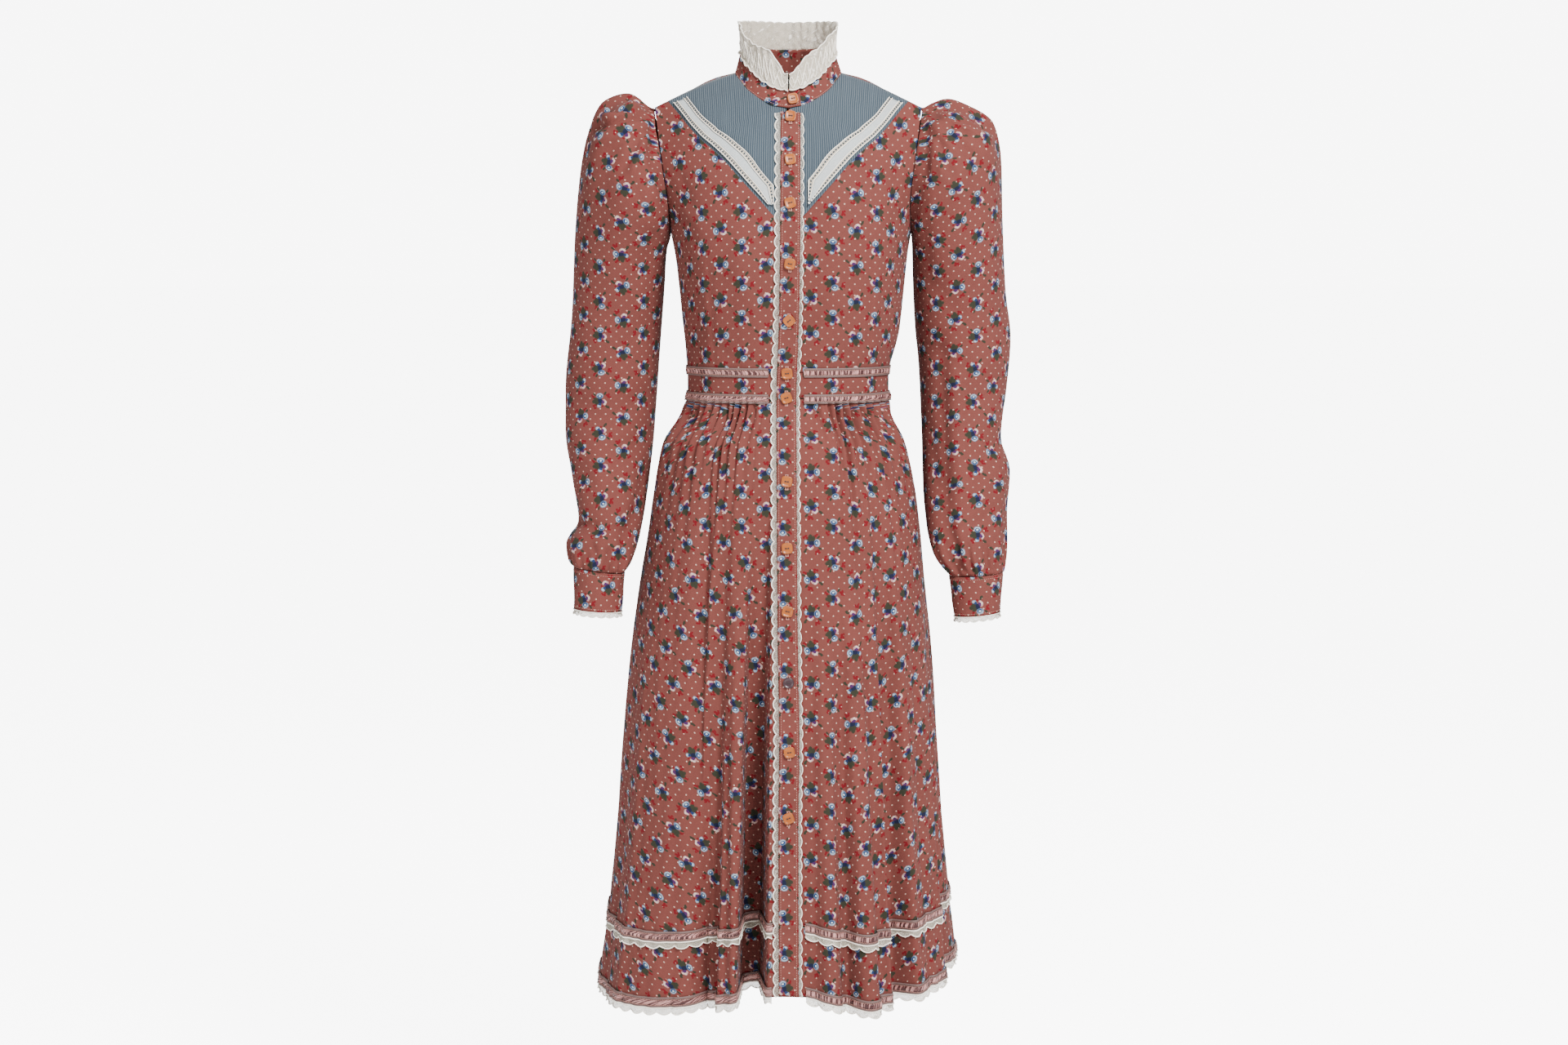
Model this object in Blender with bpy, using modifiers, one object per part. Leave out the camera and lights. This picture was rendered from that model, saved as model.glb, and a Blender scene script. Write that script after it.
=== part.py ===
"""Prairie dress: fitted bodice with a V yoke, puffed sleeves, gathered skirt with a lace-edged tier.

Every piece is the cloth itself, a thin wall. The dress stands up as worn and faces -Y. The origin
is level with the high points of the shoulders, where the wearer holds it up. Left and right are
the viewer's, looking at the front. Tables are in millimetres and are scaled to metres when read.
"""
import math

import bpy
import numpy as np
from mathutils import Matrix, Vector

MM = 0.001

# Driving sizes, in metres
CLOTH = 0.0016            # wall of the cotton panels
CUFF_CLOTH = 0.0022       # two layers and an interlining
TRIM = 0.0010             # ribbon and lace
SEAM = 0.0004             # gap left between pieces along a seam
LIFT = 0.0005             # gap under anything that lies on a panel
WAIST_TOP = -0.3575       # bodice meets waistband
WAIST_LOW = -0.3885       # waistband meets skirt
TIER_SEAM = -1.0095       # skirt meets tier
HEM = -1.0920             # lower edge of the tier's cloth
RIBBON = 0.0110           # height of the waist ribbons
TIER_RIBBON = 0.0125
LACE = 0.0100             # depth of the lace under the tier and hem ribbons
SCALLOP = 0.0045          # how far a scallop hangs below the lace's solid part
PLACKET_LEFT = -0.0110    # edges of the front placket, from the centre line
PLACKET_RIGHT = 0.0125
PLACKET_LACE = 0.0070
COLLAR_LACE_DROP = 0.0060
BUTTON = 0.0130
BUTTON_THICK = 0.0026
BUTTON_ROUNDING = 0.28    # rounded rim, as a share of the thickness
SQUARE_BUTTON = ("button", 8, 3.6)         # finish, corners and the power of its outline, which
ROUND_BUTTON = ("button_dark", 10, 2.0)    # is round when low and square when high
YOKE_LACE = 0.0190        # width of the lace band along the V
YOKE_EDGE = 0.0040        # plain strip between the lace band and the V seam
CUFF_LACE = 0.0060

SKIRT_COLUMNS = 60
SLEEVE_COLUMNS = 28
SLEEVE_CROWDING = 1.2     # sleeve columns crowd towards the shoulder, where the cap is pleated
CUFF_COLUMNS = 20
STAND_COLUMNS = 32
COLLAR_LACE_COLUMNS = 40
YOKE_LACE_ROWS = 11
WAVE_COLUMNS = 4          # columns in one wave of a gather or a ruffle
SCALLOP_STEPS = 3         # lace columns for each column of the skirt
FITTING_ROUNDS = 8        # steps that bring a front line to its place across the cloth

WELD = 0.00001            # points this close in one sheet are one point
NORMAL_STEP = 0.004       # share of the bodice over which its slope is measured
WAIST_LIFT = 0.0008       # the waist ribbons clear the first of the skirt's gathers
NUDGE = 1e-9              # keeps a division from meeting zero
HALF_FRONT = 0.14         # rough reach from the centre front to the side
SLEEVE_GAP = 0.0006       # from the armhole to the head of the sleeve
PLACKET_MIDDLE = 0.0008
COLLAR_BUTTON = 4.5       # degrees from the centre front
STAND_HEIGHT = 0.0260
OVERLAP = 0.0022          # the collar's buttoning end over the end under it
BUTTON_GAP = 0.0005
COLLAR_BUTTON_HEIGHT = 0.38
UNDER_GAP = 0.0009
LACE_FLARE = 0.0030       # how far the collar lace leans out at its top
LACE_RIPPLE = 0.0016

# Where pieces stop, as shares of the way across a half bodice or degrees round the skirt
CENTRE_EDGE = 0.014
BAND_CENTRE_EDGE = {-1: 0.112, 1: 0.150}
BAND_TOP, BAND_BOTTOM = 0.985, 0.632
RIBBON_START_RIGHT = 0.135
RIBBON_START_LEFT = 0.170
SKIRT_EDGE = 0.5
TRIM_START_RIGHT = 7.0
TRIM_START_LEFT = 6.6

# Rows and columns of the grids
ARM_LEVELS = (1.0, 0.975, 0.95, 0.925, 0.90, 0.88, 0.82, 0.76, 0.70, 0.64, 0.60, 0.56, 0.52)
SIDE_LEVELS = (0.45, 0.385, 0.32, 0.22, 0.11, 0.0)
PLACKET_LEVELS = (0.872,) + ARM_LEVELS[6:] + SIDE_LEVELS
HALF_SHARES = (0.0, 0.14, 0.28, 0.42, 0.56, 0.70, 0.85, 1.0)
WAIST_SHARES = (0.0, 0.14, 0.28, 0.42, 0.52, 0.60, 0.68, 0.76, 0.84, 0.91, 0.96, 1.0)
SKIRT_LEVELS = (-0.3885, -0.401, -0.423, -0.455, -0.510, -0.600, -0.710, -0.830, -0.940, -1.0095)
TIER_LEVELS = (-1.0095, -1.022, -1.060, -1.092)

# Height of each button on the front, in millimetres
BUTTON_HEIGHTS = (-55, -106, -157, -228, -295, -358, -387, -484, -562, -636, -720, -802, -880)
REPLACED_BUTTON = 12      # counted from the collar, this one has been replaced by a round one

# Colours of the finishes: red, green, blue, roughness
FINISHES = {
    "calico": (0.36, 0.10, 0.08, 0.85),
    "chambray": (0.10, 0.14, 0.19, 0.85),
    "lace": (0.75, 0.68, 0.56, 0.90),
    "ribbon": (0.58, 0.28, 0.25, 0.45),
    "button": (0.72, 0.38, 0.07, 0.50),
    "button_dark": (0.09, 0.03, 0.05, 0.45),
}

# Half of the bodice front, waist to shoulder. share of the way up: centre, bust line, side front,
# side. From share 0.88 the centre column is the neckline, and from 0.52 the side is the armhole.
FRONT_ROWS = (
    (0.00, (0, -88, -357.5), (58, -82, -357.5), (104, -50, -357.5), (122.5, 0, -357.5)),
    (0.16, (0, -94, -306), (62, -91, -306), (111, -57, -306), (131.5, 0, -306)),
    (0.32, (0, -101, -257), (66, -102, -257), (118, -64, -257), (136.5, 0, -257)),
    (0.45, (0, -104, -217), (68, -108, -217), (122, -68, -217), (141, 0, -217)),
    (0.52, (0, -103, -194), (68, -107, -194), (123, -69, -195), (145, 0, -195)),
    (0.64, (0, -98, -157), (66, -100, -155), (118, -72, -157), (144.5, -36, -163)),
    (0.76, (0, -88, -112), (66, -88, -112), (116, -69, -114), (149, -46, -121)),
    (0.88, (0, -63, -44), (64, -68, -66), (116, -58, -80), (154, -38, -86)),
    (0.94, (45, -46, -25), (82, -47, -42), (120, -40, -55), (157.5, -26, -62)),
    (1.00, (64, -12, -1), (97, -12, -12), (130, -12, -27), (160.5, -12, -42)),
)

# Half of the bodice back, in the same columns
BACK_ROWS = (
    (0.00, (0, 80, -357.5), (56, 77, -357.5), (102, 48, -357.5), (122.5, 0, -357.5)),
    (0.16, (0, 84, -306), (60, 83, -306), (109, 55, -306), (131.5, 0, -306)),
    (0.32, (0, 90, -257), (64, 90, -257), (115, 61, -257), (136.5, 0, -257)),
    (0.45, (0, 94, -217), (67, 95, -217), (120, 65, -217), (141, 0, -217)),
    (0.52, (0, 96, -194), (69, 97, -194), (122, 66, -195), (145, 0, -195)),
    (0.64, (0, 99, -150), (69, 99, -153), (118, 76, -157), (146.5, 34, -163)),
    (0.76, (0, 96, -95), (69, 93, -102), (117, 73, -110), (151, 43, -121)),
    (0.82, (0, 86, -46), (70, 82, -66), (118, 66, -86), (153.5, 41, -104)),
    (0.88, (0, 68, 1), (70, 66, -32), (118, 54, -62), (156, 36, -86)),
    (0.94, (43, 48, 3), (86, 43, -16), (124, 34, -42), (158, 20, -62)),
    (0.97, (60, 18, 2), (95, 16, -8), (130, 12, -28), (160.5, 4, -47)),
    (1.00, (64, -12, -1), (97, -12, -12), (130, -12, -27), (160.5, -12, -42)),
)
COLUMN_SHARES = (0.0, 0.42, 0.78, 1.0)
NECK_SHARE = 0.88
NECK_LEAVES = (1.35, 0.0, 0.0)    # the neckline leaves the centre line sideways
ARM_LEAVES = (0.5, 1.9, 0.15)     # the armhole leaves the side seam forwards or backwards
ARM_SHARE = 0.52
NECK_BLEND = 0.03
ARM_BLEND = 0.10
SIDE_ROUNDING = 1.35      # how roundly the front turns into the side
ARMHOLE_SPREAD = 1.6      # spaces the sleeve's columns out along the top of the armhole

# The bodice leans a little to the viewer's right between waist and underarm: share, millimetres
BODICE_LEAN = ((0.00, 0), (0.16, 4.3), (0.32, 4.4), (0.52, 3.5), (0.76, 0), (1.00, 0))

# The V seam on the bodice front: share up, share across
V_SEAM = ((0.56, 0.04), (0.60, 0.125), (0.64, 0.20), (0.70, 0.325), (0.76, 0.455),
          (0.82, 0.60), (0.88, 0.725), (0.94, 0.82), (1.00, 0.89))

# Centre of the placket: height, sideways place
PLACKET_CENTRE = ((-1110, 0), (-880, -0.5), (-800, 0.5), (-650, -1.5), (-500, -2.5), (-390, -3),
                  (-300, 0), (-200, 1.5), (-40, 2))

# Skirt sections: height, reach to the left, right, front and back
SKIRT_ROWS = (
    (-388.5, 122.5, 122.5, 88, 80),
    (-410, 134, 128, 102, 96),
    (-435, 146, 138, 113, 112),
    (-455, 153, 145, 118, 120),
    (-505, 163.5, 156, 126, 131),
    (-555, 171.5, 162, 132, 138),
    (-605, 180.5, 166.5, 137, 144),
    (-707, 195, 175.5, 146, 153),
    (-808, 204.5, 181, 153, 160),
    (-921, 213, 187, 160, 168),
    (-1010, 223, 194, 166, 174),
    (-1110, 238, 203, 173, 181),
)
SKIRT_SQUARENESS = 2.15
WAIST_BLEND = 0.055       # height over which the skirt leaves the shape of the waist
FOLD_GROWTH = 1.15        # a fold deepens a little faster than evenly

# Skirt folds: degrees from the centre front (right is positive), half width in degrees, depth
# (inward is positive), heading of the push in degrees, softness of its edge, height it starts at
SKIRT_FOLDS = (
    (-58, 22, -10, -58, 1.00, -480),
    (-33.5, 6.5, 34, -22, 0.75, -450),
    (-14.2, 6.4, 80, 2, 0.50, -500),
    (16.8, 8.2, -17, 13, 0.90, -520),
    (24, 5, 9, 20, 1.00, -600),
    (31.5, 7.5, -20, 24, 0.90, -560),
    (47, 6.5, 30, 40, 0.70, -450),
    (81, 9, 22, 80, 0.90, -600),
    (106, 17, -17, 106, 1.00, -500),
    (129, 9, 32, 128, 0.85, -450),
    (147, 9, -10, 147, 1.00, -500),
    (163, 8.5, 44, 164, 0.80, -440),
    (-179, 9, -8, -179, 1.00, -480),
    (-162, 8.5, 38, -163, 0.80, -440),
    (-145, 9, -10, -145, 1.00, -520),
    (-128, 8.5, 34, -128, 0.85, -460),
    (-107, 8, 24, -107, 0.90, -620),
)

# Where the skirt's edge hangs lower: degrees from the centre front, millimetres
HEM_DROP = ((-180, 0), (-130, -6), (-85, -22), (-56, -24), (-24, -12), (-13, -3), (0, 0), (14, -6),
            (30, -18), (55, -12), (80, -4), (110, 0), (180, 0))

# Cloth gathered into the waistband: degrees from the centre front, share of the full gather
GATHER_SHARE = ((-180, 1), (-90, 0.8), (-66, 0.9), (-34, 1), (-22, 0.2), (0, 0), (20, 0.2),
                (32, 1), (70, 0.8), (180, 1))
GATHER_DEPTH = 0.0042
GATHER_START, GATHER_FULL = 0.006, 0.026    # below the waistband
GATHER_FADE = 0.085

SLEEVE_HEAD = 0.06        # share of the sleeve over which it leaves the shape of the armhole
CAP_PLEATS = (115, 60)    # degrees from the shoulder where the cap's pleats begin and are full
# Sleeves, armhole to cuff: share of the way, outer x and z, inner x and z, middle y, half depth,
# depth of the cap's pleats, depth of the gathers into the cuff
SLEEVE_LEFT = (
    (0.00, 160.5, -42, 141.8, -195, -4, 46, 0, 0),
    (0.03, 174, -34, 142.6, -197.5, -3, 54, 0.8, 0),
    (0.07, 192, -27.5, 143.2, -200, 0, 65, 3.2, 0),
    (0.13, 221, -38, 144.5, -204, 2, 72, 4.5, 0),
    (0.20, 240, -74, 146.8, -211, 6, 73, 3.5, 0),
    (0.28, 251.5, -123, 148.5, -224, 12, 69, 1.5, 0),
    (0.38, 259.5, -190, 150.5, -253, 22, 63, 0, 0),
    (0.50, 265, -290, 156.5, -325, 33, 57, 0, 0),
    (0.62, 274, -385, 162, -398, 37, 56, 0, 0),
    (0.68, 274, -430, 165, -440, 30, 55, 0, 0),
    (0.76, 264, -492, 172, -505, 8, 50, 0, 0),
    (0.83, 255.5, -540, 179.5, -556, -12, 47, 0, 0.6),
    (0.89, 268, -567, 186, -582, -26, 44, 0, 1.8),
    (0.95, 264, -587, 194, -597, -35, 38, 0, 2.4),
    (1.00, 260, -594, 198, -602, -38, 31, 0, 1.2),
)
CUFF_LEFT = ((0, 260.3, -594.4, 197.8, -602.4, -38.3, 31.2), (1, 259, -644, 201, -647.5, -53, 29))
SLEEVE_RIGHT = (
    (0.00, 160.5, -42, 149.0, -195, -4, 46, 0, 0),
    (0.03, 174, -36, 149.5, -197.5, -3, 54, 0.8, 0),
    (0.07, 190, -34, 149.8, -200, 0, 65, 3.2, 0),
    (0.13, 217, -43.5, 150.2, -204, 2, 72, 4.5, 0),
    (0.20, 246, -62, 150.6, -211, 6, 74, 3.5, 0),
    (0.28, 257.5, -104, 151.2, -224, 12, 70, 1.5, 0),
    (0.38, 261.5, -180, 152.5, -253, 22, 64, 0, 0),
    (0.50, 266.5, -262, 156, -310, 32, 58, 0, 0),
    (0.59, 273.5, -322, 160, -346, 37, 56, 0, 0),
    (0.66, 269.5, -377, 163, -398, 36, 55, 0, 0),
    (0.74, 261.5, -440, 164.5, -452, 20, 52, 0, 0),
    (0.80, 271, -480, 164.8, -497, 5, 50, 0, 0.4),
    (0.88, 266, -530, 167, -540, -13, 48, 0, 1.2),
    (0.95, 263.5, -575, 176, -580, -28, 42, 0, 2.4),
    (1.00, 261, -601, 195, -605.5, -37, 31, 0, 1.2),
)
CUFF_RIGHT = ((0, 261, -601.4, 195, -605.9, -37.3, 31.2), (1, 256.5, -648, 201, -653.5, -52, 28.5))

# Collar, by degrees from the centre front: rise of the stand, lean towards the neck
STAND_RISE = ((0, 21), (60, 25), (90, 26.5), (180, 30))
STAND_LEAN = 0.12
# Height of the lace above the stand, by degrees from the centre front
COLLAR_LACE_RISE = ((-180, 32), (-90, 31.5), (-50, 31), (-20, 38), (-8, 24), (-4, 17), (4, 17),
                    (10, 24), (20, 32), (45, 33), (90, 31), (180, 32))
COLLAR_LACE_ENDS = (-5.0, 5.0)
STAND_OVER = 12.0         # degrees past the centre that the buttoning end reaches
STAND_UNDER = -10.0       # degrees past the centre that the end under it reaches
OVER_LIFT = (-36.0, -16.0)    # degrees between which the buttoning end lifts over the other


def clear_scene():
    for thing in list(bpy.data.objects):
        bpy.data.objects.remove(thing, do_unlink=True)


def finish_material(node, finish):
    red, green, blue, roughness = FINISHES[finish]
    material = bpy.data.materials.new(node + "_" + finish)
    material.use_nodes = True
    shader = material.node_tree.nodes["Principled BSDF"]
    shader.inputs["Base Color"].default_value = (red, green, blue, 1.0)
    shader.inputs["Roughness"].default_value = roughness
    shader.inputs["Metallic"].default_value = 0.0
    material.diffuse_color = (red, green, blue, 1.0)
    return material


def smooth_table(knots, values, at, leave=None):
    """Follow a table's rows with a smooth curve that never overshoots a row.

    leave scales the slope with which each value leaves the first row.
    """
    knots = np.asarray(knots, float)
    values = np.asarray(values, float)
    values = values.reshape(len(knots), -1)
    at = np.clip(np.asarray(at, float), knots[0], knots[-1])
    spans = np.diff(knots)[:, None]
    slopes = np.diff(values, axis=0) / spans
    tangents = np.zeros_like(values)
    tangents[0] = slopes[0] if leave is None else slopes[0] * leave
    tangents[-1] = slopes[-1]
    before, after = slopes[:-1], slopes[1:]
    same_way = before * after > 0
    safe_before = np.where(same_way, before, 1.0)
    safe_after = np.where(same_way, after, 1.0)
    weight_a = 2 * spans[1:] + spans[:-1]
    weight_b = spans[1:] + 2 * spans[:-1]
    mean = (weight_a + weight_b) / (weight_a / safe_before + weight_b / safe_after)
    tangents[1:-1] = np.where(same_way, mean, 0.0)
    row = np.clip(np.searchsorted(knots, at, side="right") - 1, 0, len(knots) - 2)
    span = spans[row, 0]
    share = ((at - knots[row]) / span)[..., None]
    span = span[..., None]
    start = (1 + 2 * share) * (1 - share) ** 2 * values[row]
    start = start + share * (1 - share) ** 2 * span * tangents[row]
    end = share ** 2 * (3 - 2 * share) * values[row + 1]
    end = end + share ** 2 * (share - 1) * span * tangents[row + 1]
    return start + end


def lookup(table, at):
    """One value from a two-column table."""
    return smooth_table([row[0] for row in table], [row[1] for row in table], at)[..., 0]


def ease(low, high, value):
    share = np.clip((value - low) / (high - low), 0.0, 1.0)
    return share * share * (3 - 2 * share)


# ---- the bodice -------------------------------------------------------------------------------

def edge_line(rows, column, corner, leaves, up):
    """An edge column of the bodice, which turns a corner where the neck or armhole begins."""
    below = [row for row in rows if row[0] <= corner]
    above = [row for row in rows if row[0] >= corner]
    line = smooth_table([row[0] for row in below], [row[column] for row in below], up)
    curve = smooth_table([row[0] for row in above], [row[column] for row in above], up, leaves)
    return np.where((up > corner)[..., None], curve, line)


def bodice(rows, side, across, up):
    """Point on a half of the bodice: side is -1 or 1, across runs from the centre to the side."""
    across, up = np.broadcast_arrays(np.asarray(across, float), np.asarray(up, float))
    table = smooth_table([row[0] for row in rows], [sum(row[1:], ()) for row in rows], up) * MM
    table[..., :3] = edge_line(rows, 1, NECK_SHARE, NECK_LEAVES, up) * MM
    table[..., -3:] = edge_line(rows, 4, ARM_SHARE, ARM_LEAVES, up) * MM
    post = [table[..., 3 * i:3 * i + 3] for i in range(4)]
    knots = COLUMN_SHARES
    slope = [(post[i + 1] - post[i]) / (knots[i + 1] - knots[i]) for i in range(3)]
    at_neck = ease(NECK_SHARE - NECK_BLEND, NECK_SHARE + NECK_BLEND, up)[..., None]
    level = slope[0].copy()
    level[..., 1:] = 0.0
    first = level * (1 - at_neck) + slope[0] * at_neck
    at_arm = ease(ARM_SHARE, ARM_SHARE + ARM_BLEND, up)[..., None]
    around_side = np.zeros_like(slope[2])
    around_side[..., 1] = slope[2][..., 1] * SIDE_ROUNDING
    last = around_side * (1 - at_arm) + slope[2] * at_arm
    middle = [(slope[i] * (knots[i + 2] - knots[i + 1]) + slope[i + 1] * (knots[i + 1] - knots[i]))
              / (knots[i + 2] - knots[i]) for i in range(2)]
    tangent = [first, middle[0], middle[1], last]
    point = np.zeros_like(post[0])
    for i in range(3):
        width = knots[i + 1] - knots[i]
        share = np.clip((across - knots[i]) / width, 0.0, 1.0)[..., None]
        piece = (1 + 2 * share) * (1 - share) ** 2 * post[i]
        piece = piece + share * (1 - share) ** 2 * width * tangent[i]
        piece = piece + share ** 2 * (3 - 2 * share) * post[i + 1]
        piece = piece + share ** 2 * (share - 1) * width * tangent[i + 1]
        inside = (across >= knots[i]) if i else (across >= -1.0)
        point = np.where(inside[..., None], piece, point)
    point[..., 0] = side * point[..., 0] + lookup(BODICE_LEAN, up) * MM * across
    return point


def unit(vectors):
    return vectors / np.linalg.norm(vectors, axis=-1, keepdims=True)


def bodice_face(rows, side, across, up):
    """Unit normal of one face of a half of the bodice."""
    step = NORMAL_STEP
    right = bodice(rows, side, np.minimum(across + step, 1), up)
    left = bodice(rows, side, np.maximum(across - step, 0), up)
    above = bodice(rows, side, across, np.minimum(up + step, 1))
    below = bodice(rows, side, across, np.maximum(up - step, 0))
    turn = 1 if rows is FRONT_ROWS else -1
    return unit(np.cross(right - left, above - below)) * side * turn


def bodice_outward(rows, side, across, up):
    """Normals of the bodice, shared by the front and the back along the seams between them."""
    across, up = np.broadcast_arrays(np.asarray(across, float), np.asarray(up, float))
    other = BACK_ROWS if rows is FRONT_ROWS else FRONT_ROWS
    mine = bodice_face(rows, side, across, up)
    both = unit(mine + bodice_face(other, side, across, up))
    on_seam = (up > 0.999) | ((across > 0.999) & (up < ARM_SHARE + 0.001))
    return np.where(on_seam[..., None], both, mine)


def waist_radius():
    """The waist seam as a radius by degrees from the centre front."""
    across = np.linspace(0, 1, 61)
    loop = [bodice(rows, side, across, 0.0) for rows in (FRONT_ROWS, BACK_ROWS) for side in (-1, 1)]
    points = np.concatenate(loop)
    degrees = np.degrees(np.arctan2(points[:, 0], -points[:, 1]))
    order = np.argsort(degrees)
    degrees = degrees[order]
    radius = np.hypot(points[order, 0], points[order, 1])
    degrees = np.concatenate((degrees - 360, degrees, degrees + 360))
    return degrees, np.tile(radius, 3)


# ---- the skirt --------------------------------------------------------------------------------

WAIST_DEGREES, WAIST_RADII = waist_radius()


def wrap(degrees):
    return (np.asarray(degrees, float) + 180.0) % 360.0 - 180.0


def skirt_shell(degrees, level):
    """Point on the skirt without its waist gathers, at a nominal level."""
    degrees, level = np.broadcast_arrays(wrap(degrees), np.asarray(level, float))
    angle = np.radians(degrees)
    reach = smooth_table([-row[0] for row in SKIRT_ROWS], [row[1:] for row in SKIRT_ROWS],
                         -level / MM) * MM
    sideways = np.where(degrees > 0, reach[..., 1], reach[..., 0])
    forward = np.where(np.cos(angle) > 0, reach[..., 2], reach[..., 3])
    power = SKIRT_SQUARENESS
    oval = (np.abs(np.sin(angle) / sideways) ** power
            + np.abs(np.cos(angle) / forward) ** power) ** (-1 / power)
    seam = np.interp(degrees, WAIST_DEGREES, WAIST_RADII)
    free = ease(WAIST_LOW, WAIST_LOW - WAIST_BLEND, level)
    radius = seam * (1 - free) + oval * free
    x = radius * np.sin(angle)
    y = -radius * np.cos(angle)
    for centre, half, depth, heading, softness, start in SKIRT_FOLDS:
        away = np.abs(wrap(degrees - centre)) / half
        bump = ease(1.0, 1.0 - softness, away)
        growth = np.clip((start * MM - level) / (start * MM - HEM), 0, 1)
        push = depth * MM * bump * growth ** FOLD_GROWTH
        x = x - push * math.sin(math.radians(heading))
        y = y + push * math.cos(math.radians(heading))
    down = (level - WAIST_LOW) / (HEM - WAIST_LOW)
    z = level + lookup(HEM_DROP, degrees) * MM * down
    return np.stack((x, y, z), axis=-1)


def hem_lengths():
    """Share of the hem's length reached at each angle, from the back's middle."""
    degrees = np.linspace(-180, 180, 1441)
    points = skirt_shell(degrees, HEM)
    steps = np.linalg.norm(np.diff(points, axis=0), axis=1)
    reached = np.concatenate(([0.0], np.cumsum(steps)))
    return degrees, reached / reached[-1], reached[-1]


HEM_DEGREES, HEM_SHARES, HEM_LENGTH = hem_lengths()


def cloth_share(degrees):
    return np.interp(wrap(degrees), HEM_DEGREES, HEM_SHARES)


def cloth_degrees(share):
    turns = np.floor(share)
    return np.interp(share - turns, HEM_SHARES, HEM_DEGREES) + 360.0 * turns


def skirt(degrees, level):
    """Point on the skirt with the cloth gathered into the waistband."""
    degrees, level = np.broadcast_arrays(np.asarray(degrees, float), np.asarray(level, float))
    point = skirt_shell(degrees, level).copy()
    below = WAIST_LOW - level
    swell = ease(GATHER_START, GATHER_FULL, below) * np.exp(-below / GATHER_FADE)
    wave = np.cos(2 * math.pi * SKIRT_COLUMNS / WAVE_COLUMNS * cloth_share(degrees))
    push = GATHER_DEPTH * swell * wave * lookup(GATHER_SHARE, wrap(degrees))
    angle = np.radians(wrap(degrees))
    point[..., 0] += push * np.sin(angle)
    point[..., 1] -= push * np.cos(angle)
    return point


# ---- the sleeves ------------------------------------------------------------------------------

def panel_edge(rows, side, across, up):
    """Follow the straight-sided edge of a bodice panel between the rows of its grid."""
    levels = np.array(ARM_LEVELS[::-1])
    edge = bodice(rows, side, across, levels)
    return np.stack([np.interp(up, levels, edge[:, axis]) for axis in range(3)], axis=-1)


def armhole(side, degrees):
    """Armhole seam by degrees from the shoulder: minus is the front, 180 is under the arm."""
    degrees = np.asarray(degrees, float)
    down = np.abs(np.sin(np.radians(degrees) / 2)) ** ARMHOLE_SPREAD
    up = 1 - (1 - ARM_SHARE) * down
    front = panel_edge(FRONT_ROWS, side, 1.0, up)
    back = panel_edge(BACK_ROWS, side, 1.0, up)
    return np.where((degrees < 0)[..., None], front, back)


def tube_ring(side, ring, degrees, extra):
    """Oval ring from an outer point, an inner point, a middle y and a half depth."""
    outer = np.stack((side * ring[..., 0], ring[..., 4], ring[..., 1]), axis=-1) * MM
    inner = np.stack((side * ring[..., 2], ring[..., 4], ring[..., 3]), axis=-1) * MM
    middle = (outer + inner) / 2
    arm = (outer - inner) / 2
    size = np.linalg.norm(arm, axis=-1, keepdims=True)
    angle = np.radians(degrees)[..., None]
    depth = ring[..., 5:6] * MM
    spread = np.cos(angle) * (size + extra[..., None]) / size
    point = middle + arm * spread
    point[..., 1] = point[..., 1] + (np.sin(angle) * (depth + extra[..., None]))[..., 0]
    return point


def sleeve(side, table, degrees, along):
    degrees, along = np.broadcast_arrays(np.asarray(degrees, float), np.asarray(along, float))
    ring = smooth_table([row[0] for row in table], [row[1:] for row in table], along)
    turn = np.sign(degrees) * (np.abs(degrees) / 180) ** (1 / SLEEVE_CROWDING)
    wave = np.cos(math.pi * turn * SLEEVE_COLUMNS / WAVE_COLUMNS)
    on_cap = ease(*CAP_PLEATS, np.abs(degrees))
    extra = wave * (ring[..., 6] * on_cap + ring[..., 7]) * MM
    tube = tube_ring(side, ring, degrees, extra)
    seam = armhole(side, degrees)
    seam[..., 0] += side * SLEEVE_GAP
    free = ease(0.0, SLEEVE_HEAD, along)[..., None]
    return seam * (1 - free) + tube * free


def cuff(side, table, degrees, along):
    degrees, along = np.broadcast_arrays(np.asarray(degrees, float), np.asarray(along, float))
    ring = smooth_table([row[0] for row in table], [row[1:] for row in table], along)
    return tube_ring(side, ring, degrees, np.zeros_like(along))


# ---- the collar -------------------------------------------------------------------------------

def neckline(degrees):
    """Neck seam by degrees from the centre front, positive to the right."""
    degrees = wrap(degrees)
    turn = np.abs(degrees)
    on_front = NECK_SHARE + (1 - NECK_SHARE) * np.clip(turn / 90, 0, 1)
    on_back = NECK_SHARE + (1 - NECK_SHARE) * np.clip((180 - turn) / 90, 0, 1)
    front = panel_edge(FRONT_ROWS, 1, 0.0, on_front)
    back = panel_edge(BACK_ROWS, 1, 0.0, on_back)
    point = np.where((turn <= 90)[..., None], front, back)
    point[..., 0] *= np.sign(degrees)
    return point


def collar(degrees, height):
    """Point on the collar: height 0 at the neck seam, 1 at the top of the stand."""
    degrees, height = np.broadcast_arrays(np.asarray(degrees, float), np.asarray(height, float))
    point = neckline(degrees).copy()
    rise = lookup(STAND_RISE, np.abs(wrap(degrees))) * MM
    shrink = 1 - STAND_LEAN * height
    point[..., 0] *= shrink
    point[..., 1] *= shrink
    point[..., 2] += rise * height
    return point


def collar_outward(degrees, height):
    across = collar(degrees + 1, height) - collar(degrees - 1, height)
    return unit(np.cross(across, collar(degrees, height + 0.1) - collar(degrees, height - 0.1)))


# ---- making objects ---------------------------------------------------------------------------

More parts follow.
